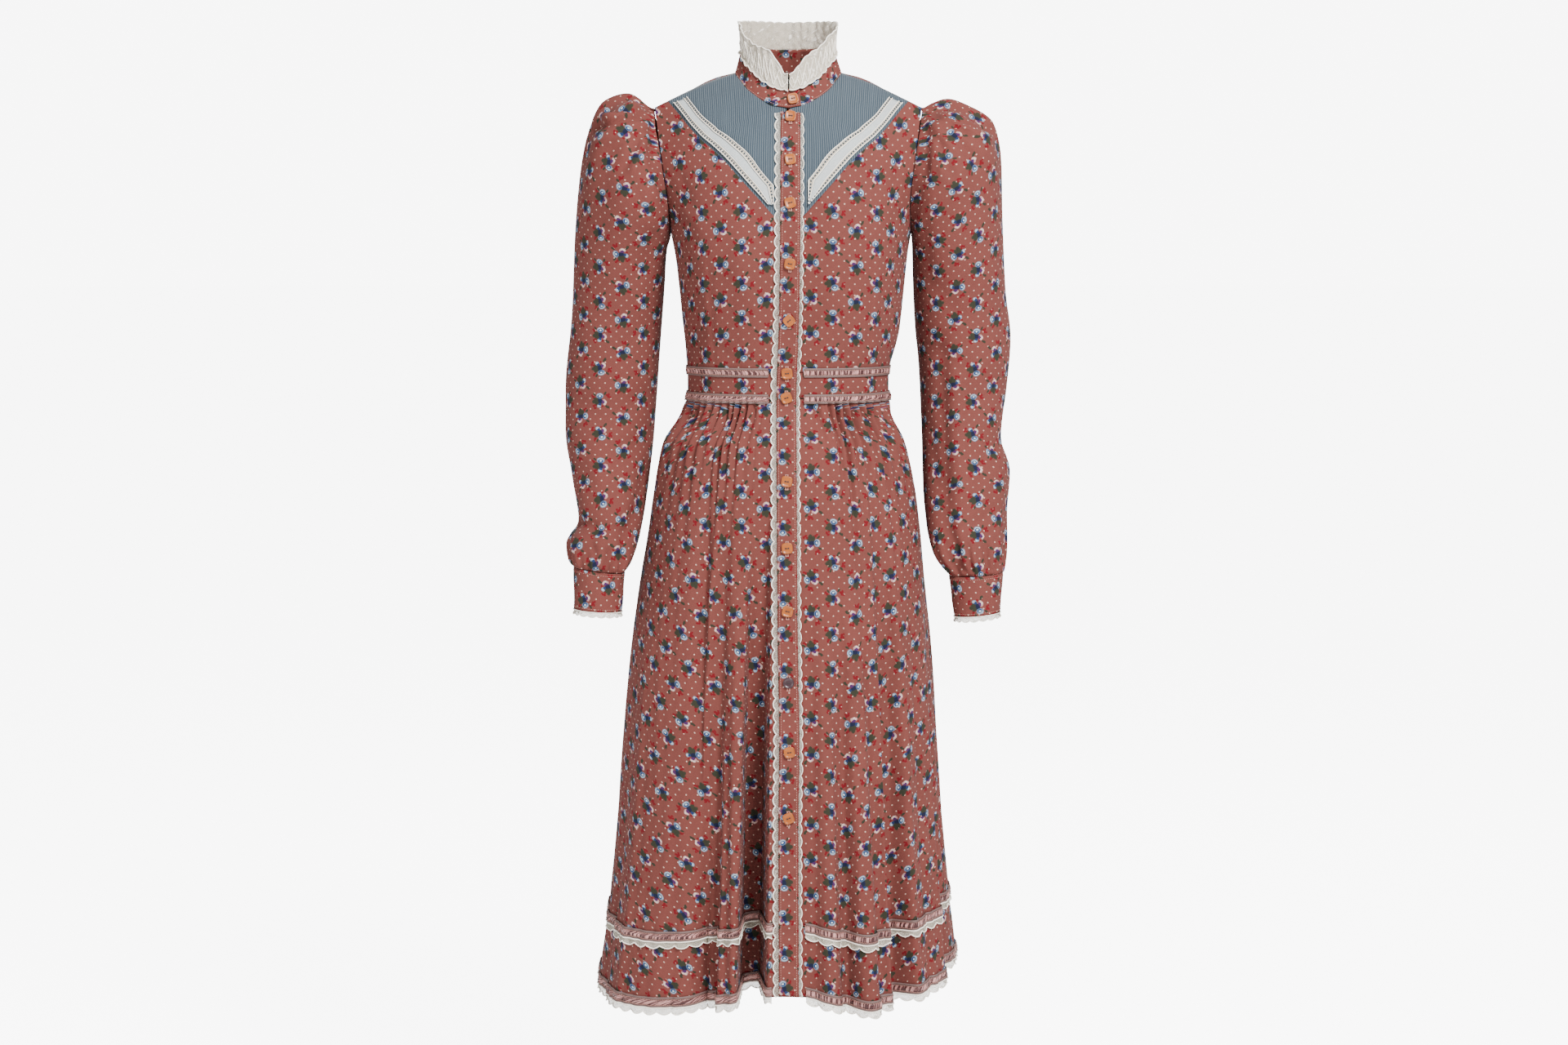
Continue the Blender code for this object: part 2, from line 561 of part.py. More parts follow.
def draw_in(points, top=0.0, bottom=0.0, first=0.0, last=0.0):
    """Pull the edges of a grid back from a seam, along the cloth."""
    points = points.copy()

    def pull(edge, neighbour, amount):
        step = neighbour - edge
        return edge + step * amount / np.linalg.norm(step, axis=-1, keepdims=True)

    if first:
        points[:, 0] = pull(points[:, 0], points[:, 1], first)
    if last:
        points[:, -1] = pull(points[:, -1], points[:, -2], last)
    if top:
        points[0] = pull(points[0], points[1], top)
    if bottom:
        points[-1] = pull(points[-1], points[-2], bottom)
    return points


def cloth(name, grids, finish, wall=CLOTH, lift=0.0, closed=False):
    """A sheet of cloth, lofted between its outer and its inner face.

    A grid is a pair: points and outward normals, rows running down and columns to the viewer's
    right. The wall lies inside the points, or over them at a lift for a trim that lies on a panel.
    """
    top, bottom = (lift + wall, lift) if lift > 0 else (lift, lift - wall)
    numbers = {}
    outer, inner, faces = [], [], []

    def number(point, normal):
        key = tuple(np.round(point / WELD).astype(int))
        if key not in numbers:
            numbers[key] = len(outer)
            outer.append(point + normal * top)
            inner.append(point + normal * bottom)
        return numbers[key]

    for points, normals in grids:
        rows, columns = points.shape[:2]
        index = [[number(points[r, c], normals[r, c]) for c in range(columns)] for r in range(rows)]
        for r in range(rows - 1):
            for c in range(columns if closed else columns - 1):
                beside = (c + 1) % columns
                faces.append((index[r][c], index[r + 1][c], index[r + 1][beside]))
                faces.append((index[r][c], index[r + 1][beside], index[r][beside]))
    count = len(outer)
    edges = {(face[i], face[(i + 1) % 3]) for face in faces for i in range(3)}
    rim = [(b, a, a + count, b + count) for a, b in edges if (b, a) not in edges]
    lining = [tuple(corner + count for corner in reversed(face)) for face in faces]
    mesh = bpy.data.meshes.new(name)
    mesh.from_pydata([tuple(point) for point in outer + inner], [], faces + lining + sorted(rim))
    mesh.shade_smooth()
    mesh.set_sharp_from_angle(angle=math.radians(60))
    mesh.materials.append(finish_material(name, finish))
    piece = bpy.data.objects.new(name, mesh)
    DRESS.objects.link(piece)
    return piece


def to_right(grid, side):
    """Columns that run from the centre to the side, put in order from left to right."""
    return tuple(part[:, ::-1] for part in grid) if side < 0 else grid


def bodice_grid(rows, side, across, levels, *gaps):
    """Points and normals on a half bodice, with its edges drawn in from their seams."""
    levels = np.asarray(levels)[:, None]
    points = draw_in(bodice(rows, side, across, levels), *gaps)
    return points, bodice_outward(rows, side, across, levels)


def make_front(side, label):
    """Lower front: from the centre to the side seam, then from the V seam to the armhole."""
    levels = np.array(ARM_LEVELS + SIDE_LEVELS)
    start = np.where(levels >= V_SEAM[0][0], lookup(V_SEAM, levels), CENTRE_EDGE)
    across = start[:, None] + (1 - start[:, None]) * np.array(HALF_SHARES)
    panel = bodice_grid(FRONT_ROWS, side, across, levels, SEAM / 2, SEAM / 2, SEAM / 2, SEAM / 2)
    cloth("front_" + label, [to_right(panel, side)], "calico")


def make_yoke(side, label):
    """Yoke: from the neckline or the centre edge to the V seam."""
    levels = np.array([level for level in ARM_LEVELS if level >= V_SEAM[0][0]])
    end = lookup(V_SEAM, levels)
    start = np.where(levels > NECK_SHARE, 0.0, CENTRE_EDGE)
    across = start[:, None] + (end - start)[:, None] * np.linspace(0, 1, 6)
    panel = bodice_grid(FRONT_ROWS, side, across, levels, SEAM / 2, 0.0, 0.0, SEAM / 2)
    cloth("yoke_" + label, [to_right(panel, side)], "chambray")


def above_v_seam(side, levels, width):
    """Shares across the yoke at a set distance from the V seam, measured on the cloth."""
    across = lookup(V_SEAM, levels)
    seam = bodice(FRONT_ROWS, side, across, levels)
    along = np.gradient(seam, axis=0)
    along /= np.linalg.norm(along, axis=-1, keepdims=True)
    step = NORMAL_STEP
    inwards = bodice(FRONT_ROWS, side, across - step, levels) - seam
    square = inwards - along * (inwards * along).sum(-1, keepdims=True)
    across = across - step * width / np.linalg.norm(square, axis=-1)
    return np.maximum(across, BAND_CENTRE_EDGE[side])


def make_yoke_lace(side, label):
    levels = np.linspace(BAND_TOP, BAND_BOTTOM, YOKE_LACE_ROWS)
    upper = above_v_seam(side, levels, YOKE_EDGE + YOKE_LACE)
    lower = above_v_seam(side, levels, YOKE_EDGE)
    across = np.stack((upper, (upper + lower) / 2, lower), axis=1)
    band = bodice_grid(FRONT_ROWS, side, across, levels)
    cloth("yoke_lace_" + label, [to_right(band, side)], "lace", wall=TRIM, lift=WAIST_LIFT)


def make_back():
    """Back bodice in one piece: two halves of one grid that meet down the middle."""
    halves = []
    for side in (-1, 1):
        half = bodice_grid(BACK_ROWS, side, np.array(HALF_SHARES), ARM_LEVELS + SIDE_LEVELS,
                           SEAM / 2, SEAM / 2, 0.0, SEAM / 2)
        halves.append(to_right(half, -side))
    cloth("back_bodice", halves, "calico")


def waist_line(rows, side, start=0.0, up=0.0):
    """Points and level normals along the waist seam of a half bodice, from the centre."""
    shares = np.array([start] + [share for share in WAIST_SHARES if share > start + 0.02])
    normals = bodice_outward(rows, side, shares, 0.0)
    normals[:, 2] = 0.0
    return bodice(rows, side, shares, up), unit(normals)


def joined(*lines):
    """Waist lines end to end, each one after the first without the point that it shares."""
    kept = [lines[0]] + [tuple(part[1:] for part in line) for line in lines[1:]]
    return tuple(np.concatenate(parts) for parts in zip(*kept))


def backwards(line):
    return tuple(part[::-1] for part in line)


def level_band(line, top, bottom, *gaps):
    """A band of even height that follows the waist."""
    points = np.stack((line[0], line[0]))
    points[0, :, 2] = top
    points[1, :, 2] = bottom
    return draw_in(points, *gaps), np.stack((line[1], line[1]))


def make_waistband():
    top, bottom = WAIST_TOP - SEAM / 2, WAIST_LOW + SEAM / 2
    for side, label in ((-1, "left"), (1, "right")):
        line = waist_line(FRONT_ROWS, side, CENTRE_EDGE)
        band = level_band(line, top, bottom, 0.0, 0.0, 0.0, SEAM / 2)
        cloth("waistband_front_" + label, [to_right(band, side)], "calico")
    line = joined(backwards(waist_line(BACK_ROWS, 1)), waist_line(BACK_ROWS, -1))
    cloth("waistband_back", [level_band(line, top, bottom, 0.0, 0.0, SEAM / 2, SEAM / 2)], "calico")


def waist_loop(up=0.0):
    """Points and normals round the whole waist, from the right of the placket to its left."""
    lines = []
    for rows, side, start in ((FRONT_ROWS, 1, RIBBON_START_RIGHT), (BACK_ROWS, 1, 0.0),
                              (BACK_ROWS, -1, 0.0), (FRONT_ROWS, -1, RIBBON_START_LEFT)):
        line = waist_line(rows, side, start, up)
        lines.append(line if (rows is FRONT_ROWS) == (side > 0) else backwards(line))
    return joined(*lines)


def make_waist_ribbons():
    """Ribbons over the two seams of the waistband, between the edges of the placket lace."""
    half = RIBBON / 2
    above, _ = waist_loop(half / (WAIST_TOP - FRONT_ROWS[1][1][2] * MM) * -FRONT_ROWS[1][0])
    seam, normals = waist_loop()
    degrees = np.degrees(np.arctan2(seam[:, 0], -seam[:, 1]))
    clear = normals * WAIST_LIFT
    below = skirt_shell(degrees, WAIST_LOW - half) + clear
    for label, height, rows in (("upper", WAIST_TOP, [above, seam, seam.copy()]),
                                ("lower", WAIST_LOW, [seam.copy(), seam + clear / 2, below])):
        points = np.stack(rows)
        for row, shift in enumerate((half, 0.0, -half)):
            points[row, :, 2] = height + shift
        ribbon = (points, np.stack([normals] * 3))
        cloth("waist_ribbon_" + label, [ribbon], "ribbon", wall=TRIM, lift=WAIST_LIFT)


def skirt_columns(start, end):
    """Angles for the columns of a panel, evenly spread along the cloth of its hem."""
    first, last = cloth_share(start), cloth_share(end)
    last = last + (last <= first)
    count = max(2, round((last - first) * SKIRT_COLUMNS) + 1)
    degrees = cloth_degrees(np.linspace(first, last, count))
    degrees[0], degrees[-1] = start, end if end > start else end + 360
    return degrees


def skirt_ring():
    """Angles, points and normals of the whole skirt and tier, with the ends at the placket."""
    right = np.concatenate(([SKIRT_EDGE], skirt_columns(TRIM_START_RIGHT, 90)))
    back = skirt_columns(90, -90)
    left = np.concatenate((skirt_columns(-90, -TRIM_START_LEFT), [-SKIRT_EDGE])) + 360
    degrees = np.concatenate((right, back[1:-1], left))
    levels = np.array(SKIRT_LEVELS + TIER_LEVELS[1:])
    points = skirt(degrees[None, :], levels[:, None])
    points, normals = tube_grid(points)
    ends = (0, len(right) - 1, len(right) + len(back) - 2, len(degrees) - 1)
    return levels, points, normals, ends


def make_skirt(ring):
    """Two fronts and a back for the skirt, and the same again for the tier under it."""
    levels, points, normals, ends = ring
    split = len(SKIRT_LEVELS) - 1
    for label, start, end in (("front_right", 0, 1), ("back", 1, 2), ("front_left", 2, 3)):
        first = 0.0 if start == 0 else SEAM / 2
        last = 0.0 if end == 3 else SEAM / 2
        columns = slice(ends[start], ends[end] + 1)
        for name, rows in (("skirt_", slice(0, split + 1)), ("tier_", slice(split, len(levels)))):
            panel = draw_in(points[rows, columns], SEAM / 2, SEAM / 2, first, last)
            cloth(name + label, [(panel, normals[rows, columns])], "calico")


def skirt_strip(ring, top, bottom):
    """A strip that lies on the skirt between two levels, from placket edge to placket edge."""
    levels, points, normals, ends = ring
    parts = []
    for grid in (points, normals):
        rows = []
        for level in (top, bottom):
            place = np.interp(-level, -levels, np.arange(len(levels)))
            row = min(int(place), len(levels) - 2)
            if level < levels[-1]:
                place = row + (levels[row] - level) / (levels[row] - levels[row + 1])
            rows.append(grid[row, 1:-1] * (row + 1 - place) + grid[row + 1, 1:-1] * (place - row))
        parts.append(np.stack(rows))
    return parts[0], unit(parts[1])


def make_skirt_trims(ring):
    """Ribbon and lace along the tier seam and along the hem."""
    for label, top in (("tier", TIER_SEAM + TIER_RIBBON / 2), ("hem", HEM + TIER_RIBBON)):
        low = top - TIER_RIBBON
        cloth(label + "_ribbon", [skirt_strip(ring, top, low)], "ribbon", wall=TRIM, lift=LIFT)
        low -= SEAM
        lace = skirt_strip(ring, low, low - LACE)
        if label == "hem":
            lace = scalloped(lace)
        cloth(label + "_lace", [lace], "lace", wall=TRIM, lift=LIFT)


def scalloped(grid):
    """Split a strip's columns finely and let every other one hang down in a scallop."""
    count = grid[0].shape[1]
    places = np.linspace(0, count - 1, (count - 1) * SCALLOP_STEPS + 1)
    index = np.minimum(places.astype(int), count - 2)
    share = (places - index)[None, :, None]
    points, normals = (part[:, index] * (1 - share) + part[:, index + 1] * share for part in grid)
    points[-1, ::2, 2] += SCALLOP / 2
    points[-1, 1::2, 2] -= SCALLOP / 2
    return points, unit(normals)


def front_line(offset):
    """Points down the whole front, at a sideways offset from the placket's centre."""
    points = []
    for level in PLACKET_LEVELS:
        height = bodice(FRONT_ROWS, 1, 0.0, level)[2]
        target = lookup(PLACKET_CENTRE, height / MM) * MM + offset
        across = abs(target) / HALF_FRONT
        side = -1 if target < 0 else 1
        for _ in range(FITTING_ROUNDS):
            across *= target / (bodice(FRONT_ROWS, side, across, level)[0] + NUDGE)
        points.append(bodice(FRONT_ROWS, side, across, level))
    for level in SKIRT_LEVELS + TIER_LEVELS[1:]:
        target = lookup(PLACKET_CENTRE, level / MM) * MM + offset
        degrees = math.degrees(target / HALF_FRONT)
        for _ in range(FITTING_ROUNDS):
            degrees *= target / (skirt(degrees, level)[0] + NUDGE)
        points.append(skirt(degrees, level))
    return np.array(points)


def front_strip(edge, far):
    """A strip beside the placket that carries its slope on where the skirt falls back in a fold."""
    inner, outer = front_line(edge), front_line(far)
    middle = front_line(PLACKET_MIDDLE)
    slope = (inner[:, 1] - middle[:, 1]) / (inner[:, 0] - middle[:, 0])
    flat = inner[:, 1] + slope * (outer[:, 0] - inner[:, 0])
    outer[:, 1] = np.minimum(outer[:, 1], flat)
    return np.stack((outer, inner) if far < edge else (inner, outer), axis=1)


def open_grid(points):
    """An open strip's points with normals worked out from its own rows and columns."""
    across = np.gradient(points, axis=1)
    return points, unit(np.cross(np.gradient(points, axis=0), across))


def make_placket():
    lines = [front_line(offset) for offset in (PLACKET_LEFT, PLACKET_MIDDLE, PLACKET_RIGHT)]
    over = open_grid(np.stack(lines, axis=1))
    cloth("placket", [over], "calico", lift=LIFT)
    cloth("under_placket", [over], "calico", lift=-CLOTH - UNDER_GAP)
    for label, edge, width in (("left", PLACKET_LEFT - SEAM, -PLACKET_LACE),
                               ("right", PLACKET_RIGHT + SEAM, PLACKET_LACE)):
        strip = open_grid(front_strip(edge, edge + width))
        cloth("placket_lace_" + label, [strip], "lace", wall=TRIM, lift=LIFT)
    return over


def facing(point, normal):
    """A place on the cloth as a matrix: its Z points outward and its Y points up the front."""
    out = Vector(normal).normalized()
    sideways = Vector((0, 0, 1)).cross(out).normalized()
    turn = Matrix((sideways, out.cross(sideways), out)).transposed().to_4x4()
    return Matrix.Translation(Vector(point)) @ turn


def make_button(name, place, kind):
    finish, corners, power = kind
    bpy.ops.mesh.primitive_cylinder_add(vertices=corners, radius=1.0, depth=BUTTON_THICK)
    button = bpy.context.object
    button.name = name
    button.data.name = name
    for vert in button.data.vertices:
        angle = math.atan2(vert.co.y, vert.co.x) + math.pi / corners
        spread = abs(math.cos(angle)) ** power + abs(math.sin(angle)) ** power
        radius = BUTTON / 2 * spread ** (-1 / power)
        vert.co.x = radius * math.cos(angle)
        vert.co.y = radius * math.sin(angle)
    button.matrix_world = place
    button.data.materials.append(finish_material(name, finish))
    for collection in list(button.users_collection):
        collection.objects.unlink(button)
    DRESS.objects.link(button)
    rim = button.modifiers.new("rim", "BEVEL")
    rim.width = BUTTON_THICK * BUTTON_ROUNDING
    rim.segments = 1
    rim.limit_method = "ANGLE"
    rim.angle_limit = math.radians(60)


def make_buttons(placket):
    """Buttons down the placket, and one that fastens the collar."""
    middle, normals = (part[:, 1] for part in placket)
    rise = middle[::-1, 2]
    seat = LIFT + CLOTH + BUTTON_GAP + BUTTON_THICK / 2
    for number, height in enumerate(BUTTON_HEIGHTS, start=2):
        upper, point, lower = (
            np.array([np.interp(height * MM + shift, rise, middle[::-1, axis]) for axis in range(3)])
            for shift in (BUTTON / 2, 0.0, -BUTTON / 2))
        along = unit(upper - lower)
        normal = np.array([np.interp(height * MM, rise, normals[::-1, axis]) for axis in range(3)])
        normal = unit(normal - along * normal.dot(along))
        place = facing((upper + lower + 2 * point) / 4 + normal * seat, normal)
        kind = ROUND_BUTTON if number == REPLACED_BUTTON else SQUARE_BUTTON
        make_button("button_%02d" % number, place, kind)
    point = collar(COLLAR_BUTTON, COLLAR_BUTTON_HEIGHT)
    normal = collar_outward(np.array([COLLAR_BUTTON]), np.array([COLLAR_BUTTON_HEIGHT]))[0]
    point = point + normal * (OVERLAP + 2 * BUTTON_GAP + BUTTON_THICK / 2)
    make_button("button_01", facing(point, normal), SQUARE_BUTTON)


def overlap_lift(degrees):
    """How far the buttoning end of the collar stands out over the end under it."""
    return OVERLAP * ease(*OVER_LIFT, degrees)


def make_collar():
    degrees = np.linspace(STAND_UNDER - 360, STAND_OVER, STAND_COLUMNS + 1)
    heights = np.array([1.0, 0.0])[:, None]
    normals = collar_outward(degrees, heights)
    points = draw_in(collar(degrees, heights), bottom=SEAM)
    points = points + normals * overlap_lift(degrees)[:, None]
    cloth("collar_stand", [(points, normals)], "calico")


def make_collar_lace():
    """Lace standing up round the neck, sewn to the outside of the collar's top edge."""
    degrees = np.linspace(COLLAR_LACE_ENDS[1] - 360, COLLAR_LACE_ENDS[0], COLLAR_LACE_COLUMNS + 1)
    base = collar(degrees, 1.0)
    away = unit(base * np.array([1.0, 1.0, 0.0]))
    clear = np.maximum(overlap_lift(degrees), overlap_lift(-360 - degrees))
    rise = lookup(COLLAR_LACE_RISE, wrap(degrees)) * MM
    ripple = np.cos(2 * math.pi * np.arange(len(degrees)) / WAVE_COLUMNS) * LACE_RIPPLE
    rows = []
    for share in (1.0, 0.5, 0.0):
        row = base + away * (clear + LACE_FLARE * share ** 2 + ripple * share)[:, None]
        row[:, 2] += rise * share
        rows.append(row)
    low = collar(degrees, 1 - COLLAR_LACE_DROP / STAND_HEIGHT)
    rows.append(low + away * clear[:, None])
    cloth("collar_lace", [(np.stack(rows), np.stack([away] * 4))], "lace", wall=TRIM, lift=LIFT)


def tube_grid(points, flat_rings=()):
    """A closed tube's rings with normals, columns to the viewer's right all the way round.

    The normals of the flat rings lie in the ring, for the end of a tube that meets a seam.
    """
    across = np.roll(points, -1, axis=1) - np.roll(points, 1, axis=1)
    normals = unit(np.cross(np.gradient(points, axis=0), across))
    for ring in flat_rings:
        normals[ring] = unit(points[ring] - points[ring].mean(axis=0))
    return points, normals


def make_sleeve(side, label, sleeve_table, cuff_table):
    turn = -1 + 2 * np.arange(SLEEVE_COLUMNS) / SLEEVE_COLUMNS
    degrees = np.sign(turn) * np.abs(turn) ** SLEEVE_CROWDING * 180
    along = np.array([row[0] for row in sleeve_table])
    tube = sleeve(side, sleeve_table, degrees, along[:, None])[:, ::side]
    cloth("sleeve_" + label, [tube_grid(tube, flat_rings=(-1,))], "calico", closed=True)
    degrees = np.arange(CUFF_COLUMNS) * 360 / CUFF_COLUMNS
    band = cuff(side, cuff_table, degrees, np.array([0.0, 1.0])[:, None])[:, ::side]
    cloth("cuff_" + label, [tube_grid(band, (0, 1))], "calico", wall=CUFF_CLOTH, closed=True)
    down = unit(band[1] - band[0])
    edge = np.stack((band[1] + down * SEAM, band[1] + down * (SEAM + CUFF_LACE)))
    cloth("cuff_lace_" + label, [tube_grid(edge, (0, 1))], "lace", wall=TRIM, closed=True)


def build():
    for side, label in ((-1, "left"), (1, "right")):
        make_front(side, label)
        make_yoke(side, label)
        make_yoke_lace(side, label)
    make_back()
    make_waistband()
    make_waist_ribbons()
    ring = skirt_ring()
    make_skirt(ring)
    make_skirt_trims(ring)
    make_buttons(make_placket())
    make_collar()
    make_collar_lace()
    make_sleeve(-1, "left", SLEEVE_LEFT, CUFF_LEFT)
    make_sleeve(1, "right", SLEEVE_RIGHT, CUFF_RIGHT)


clear_scene()
DRESS = bpy.data.collections.new("prairie_dress")
bpy.context.scene.collection.children.link(DRESS)
build()
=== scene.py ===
import math

import bpy
import numpy as np
from mathutils import Matrix, Vector


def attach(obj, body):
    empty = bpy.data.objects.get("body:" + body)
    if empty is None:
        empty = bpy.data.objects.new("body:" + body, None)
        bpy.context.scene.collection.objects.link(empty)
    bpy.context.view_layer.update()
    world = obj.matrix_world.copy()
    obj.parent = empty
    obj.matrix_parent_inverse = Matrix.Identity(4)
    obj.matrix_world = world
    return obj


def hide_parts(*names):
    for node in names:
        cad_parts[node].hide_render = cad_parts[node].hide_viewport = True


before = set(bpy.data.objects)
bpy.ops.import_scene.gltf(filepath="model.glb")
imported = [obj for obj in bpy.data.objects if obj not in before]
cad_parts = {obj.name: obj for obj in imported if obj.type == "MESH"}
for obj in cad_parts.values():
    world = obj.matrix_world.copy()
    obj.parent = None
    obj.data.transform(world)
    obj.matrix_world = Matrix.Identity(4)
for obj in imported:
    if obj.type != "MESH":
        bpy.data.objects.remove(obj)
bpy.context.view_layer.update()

MM = 0.001
CLOTH = 0.0009            # wall of a cloth shell
TRIM = 0.0006             # and of lace and ribbon
SEAM = 0.0004             # gap left open between two sewn pieces
# Sizes of the dress, as its CAD has them, in metres
WAIST_TOP = -0.3575       # the waistband's two seams
WAIST_LOW = -0.3885
TIER_SEAM = -1.0095
HEM = -1.0920
RIBBON = 0.0110           # widths of the trims
TIER_RIBBON = 0.0125
LACE = 0.0090
CUFF_LACE = 0.0060
PLACKET_LACE = 0.0070
YOKE_LACE = 0.0190
YOKE_EDGE = 0.0040        # from the V seam to the lace band above it
SCALLOP_PITCH = 0.0185    # of the lace on the skirt
PLACKET_SCALLOP = 0.0142
PLACKET_LEFT = -0.0110    # edges of the placket, from its centre line
PLACKET_RIGHT = 0.0125
BUTTON = 0.0130
BUTTON_THICK = 0.0026
SLEEVE_GAP = 0.0006       # between a sleeve and its armhole
OVERLAP = 0.0022          # how far the collar's buttoning end stands off the end under it
LACE_FLARE = 0.0030       # how far the collar lace leans out
HALF_FRONT = 0.14         # a first guess at half of the front's width
NORMAL_STEP = 0.004       # share of a panel over which its slope is measured
NUDGE = 1e-9              # keeps a division from meeting zero
# Where pieces begin beside the placket: shares across the front, then degrees from the centre front
CENTRE_EDGE = 0.014
BAND_CENTRE_EDGE = {-1: 0.112, 1: 0.150}
RIBBON_START_RIGHT = 0.135
RIBBON_START_LEFT = 0.170
SKIRT_EDGE = 0.5
TRIM_START_RIGHT = 7.0
TRIM_START_LEFT = 6.6
COLLAR_BUTTON = 4.5       # degrees from the centre front
BAND_TOP, BAND_BOTTOM = 0.985, 0.632    # ends of the yoke's lace band, as shares of the way up
# Rows of the armhole, as shares of the way up
ARM_LEVELS = (1.0, 0.975, 0.95, 0.925, 0.90, 0.88, 0.82, 0.76, 0.70, 0.64, 0.60, 0.56, 0.52)
# Heights of the buttons below the collar's, from the top down
BUTTON_HEIGHTS = (-55, -106, -157, -228, -295, -358, -387, -484, -562, -636, -720, -802, -880)
REPLACED_BUTTON = 12
SLEEVE_CROWDING = 1.2     # crowds a sleeve's columns towards the shoulder
# Share of each lace's width in the CAD that is drawn
TIER_LACE_SHOWN, HEM_LACE_SHOWN, CUFF_LACE_SHOWN = 0.6, 0.7, 0.8
PLACKET_LACE_SHOWN = {-1: 0.62, 1: 0.34}

# Half of the bodice front, waist to shoulder. share of the way up: centre, bust line, side front,
# side. From share 0.88 the centre column is the neckline, and from 0.52 the side is the armhole.
FRONT_ROWS = (
    (0.00, (0, -88, -357.5), (58, -82, -357.5), (104, -50, -357.5), (122.5, 0, -357.5)),
    (0.16, (0, -94, -306), (62, -91, -306), (111, -57, -306), (131.5, 0, -306)),
    (0.32, (0, -101, -257), (66, -102, -257), (118, -64, -257), (136.5, 0, -257)),
    (0.45, (0, -104, -217), (68, -108, -217), (122, -68, -217), (141, 0, -217)),
    (0.52, (0, -103, -194), (68, -107, -194), (123, -69, -195), (145, 0, -195)),
    (0.64, (0, -98, -157), (66, -100, -155), (118, -72, -157), (144.5, -36, -163)),
    (0.76, (0, -88, -112), (66, -88, -112), (116, -69, -114), (149, -46, -121)),
    (0.88, (0, -63, -44), (64, -68, -66), (116, -58, -80), (154, -38, -86)),
    (0.94, (45, -46, -25), (82, -47, -42), (120, -40, -55), (157.5, -26, -62)),
    (1.00, (64, -12, -1), (97, -12, -12), (130, -12, -27), (160.5, -12, -42)),
)

# Half of the bodice back, in the same columns
BACK_ROWS = (
    (0.00, (0, 80, -357.5), (56, 77, -357.5), (102, 48, -357.5), (122.5, 0, -357.5)),
    (0.16, (0, 84, -306), (60, 83, -306), (109, 55, -306), (131.5, 0, -306)),
    (0.32, (0, 90, -257), (64, 90, -257), (115, 61, -257), (136.5, 0, -257)),
    (0.45, (0, 94, -217), (67, 95, -217), (120, 65, -217), (141, 0, -217)),
    (0.52, (0, 96, -194), (69, 97, -194), (122, 66, -195), (145, 0, -195)),
    (0.64, (0, 99, -150), (69, 99, -153), (118, 76, -157), (146.5, 34, -163)),
    (0.76, (0, 96, -95), (69, 93, -102), (117, 73, -110), (151, 43, -121)),
    (0.82, (0, 86, -46), (70, 82, -66), (118, 66, -86), (153.5, 41, -104)),
    (0.88, (0, 68, 1), (70, 66, -32), (118, 54, -62), (156, 36, -86)),
    (0.94, (43, 48, 3), (86, 43, -16), (124, 34, -42), (158, 20, -62)),
    (0.97, (60, 18, 2), (95, 16, -8), (130, 12, -28), (160.5, 4, -47)),
    (1.00, (64, -12, -1), (97, -12, -12), (130, -12, -27), (160.5, -12, -42)),
)
COLUMN_SHARES = (0.0, 0.42, 0.78, 1.0)
NECK_SHARE = 0.88
NECK_LEAVES = (1.35, 0.0, 0.0)    # the neckline leaves the centre line sideways
ARM_LEAVES = (0.5, 1.9, 0.15)     # the armhole leaves the side seam forwards or backwards
ARM_SHARE = 0.52
NECK_BLEND = 0.03
ARM_BLEND = 0.10
SIDE_ROUNDING = 1.35      # how roundly the front turns into the side
ARMHOLE_SPREAD = 1.6      # spaces the sleeve's columns out along the top of the armhole

# The bodice leans a little to the viewer's right between waist and underarm: share, millimetres
BODICE_LEAN = ((0.00, 0), (0.16, 4.3), (0.32, 4.4), (0.52, 3.5), (0.76, 0), (1.00, 0))

# The V seam on the bodice front: share up, share across
V_SEAM = ((0.56, 0.04), (0.60, 0.125), (0.64, 0.20), (0.70, 0.325), (0.76, 0.455),
          (0.82, 0.60), (0.88, 0.725), (0.94, 0.82), (1.00, 0.89))

# Centre of the placket: height, sideways place
PLACKET_CENTRE = ((-1110, 0), (-880, -0.5), (-800, 0.5), (-650, -1.5), (-500, -2.5), (-390, -3),
                  (-300, 0), (-200, 1.5), (-40, 2))

# Skirt sections: height, reach to the left, right, front and back
SKIRT_ROWS = (
    (-388.5, 122.5, 122.5, 88, 80),
    (-410, 134, 128, 102, 96),
    (-435, 146, 138, 113, 112),
    (-455, 153, 145, 118, 120),
    (-505, 163.5, 156, 126, 131),
    (-555, 171.5, 162, 132, 138),
    (-605, 180.5, 166.5, 137, 144),
    (-707, 195, 175.5, 146, 153),
    (-808, 204.5, 181, 153, 160),
    (-921, 213, 187, 160, 168),
    (-1010, 223, 194, 166, 174),
    (-1110, 238, 203, 173, 181),
)
SKIRT_SQUARENESS = 2.15
WAIST_BLEND = 0.055       # height over which the skirt leaves the shape of the waist
FOLD_GROWTH = 1.15        # a fold deepens a little faster than evenly

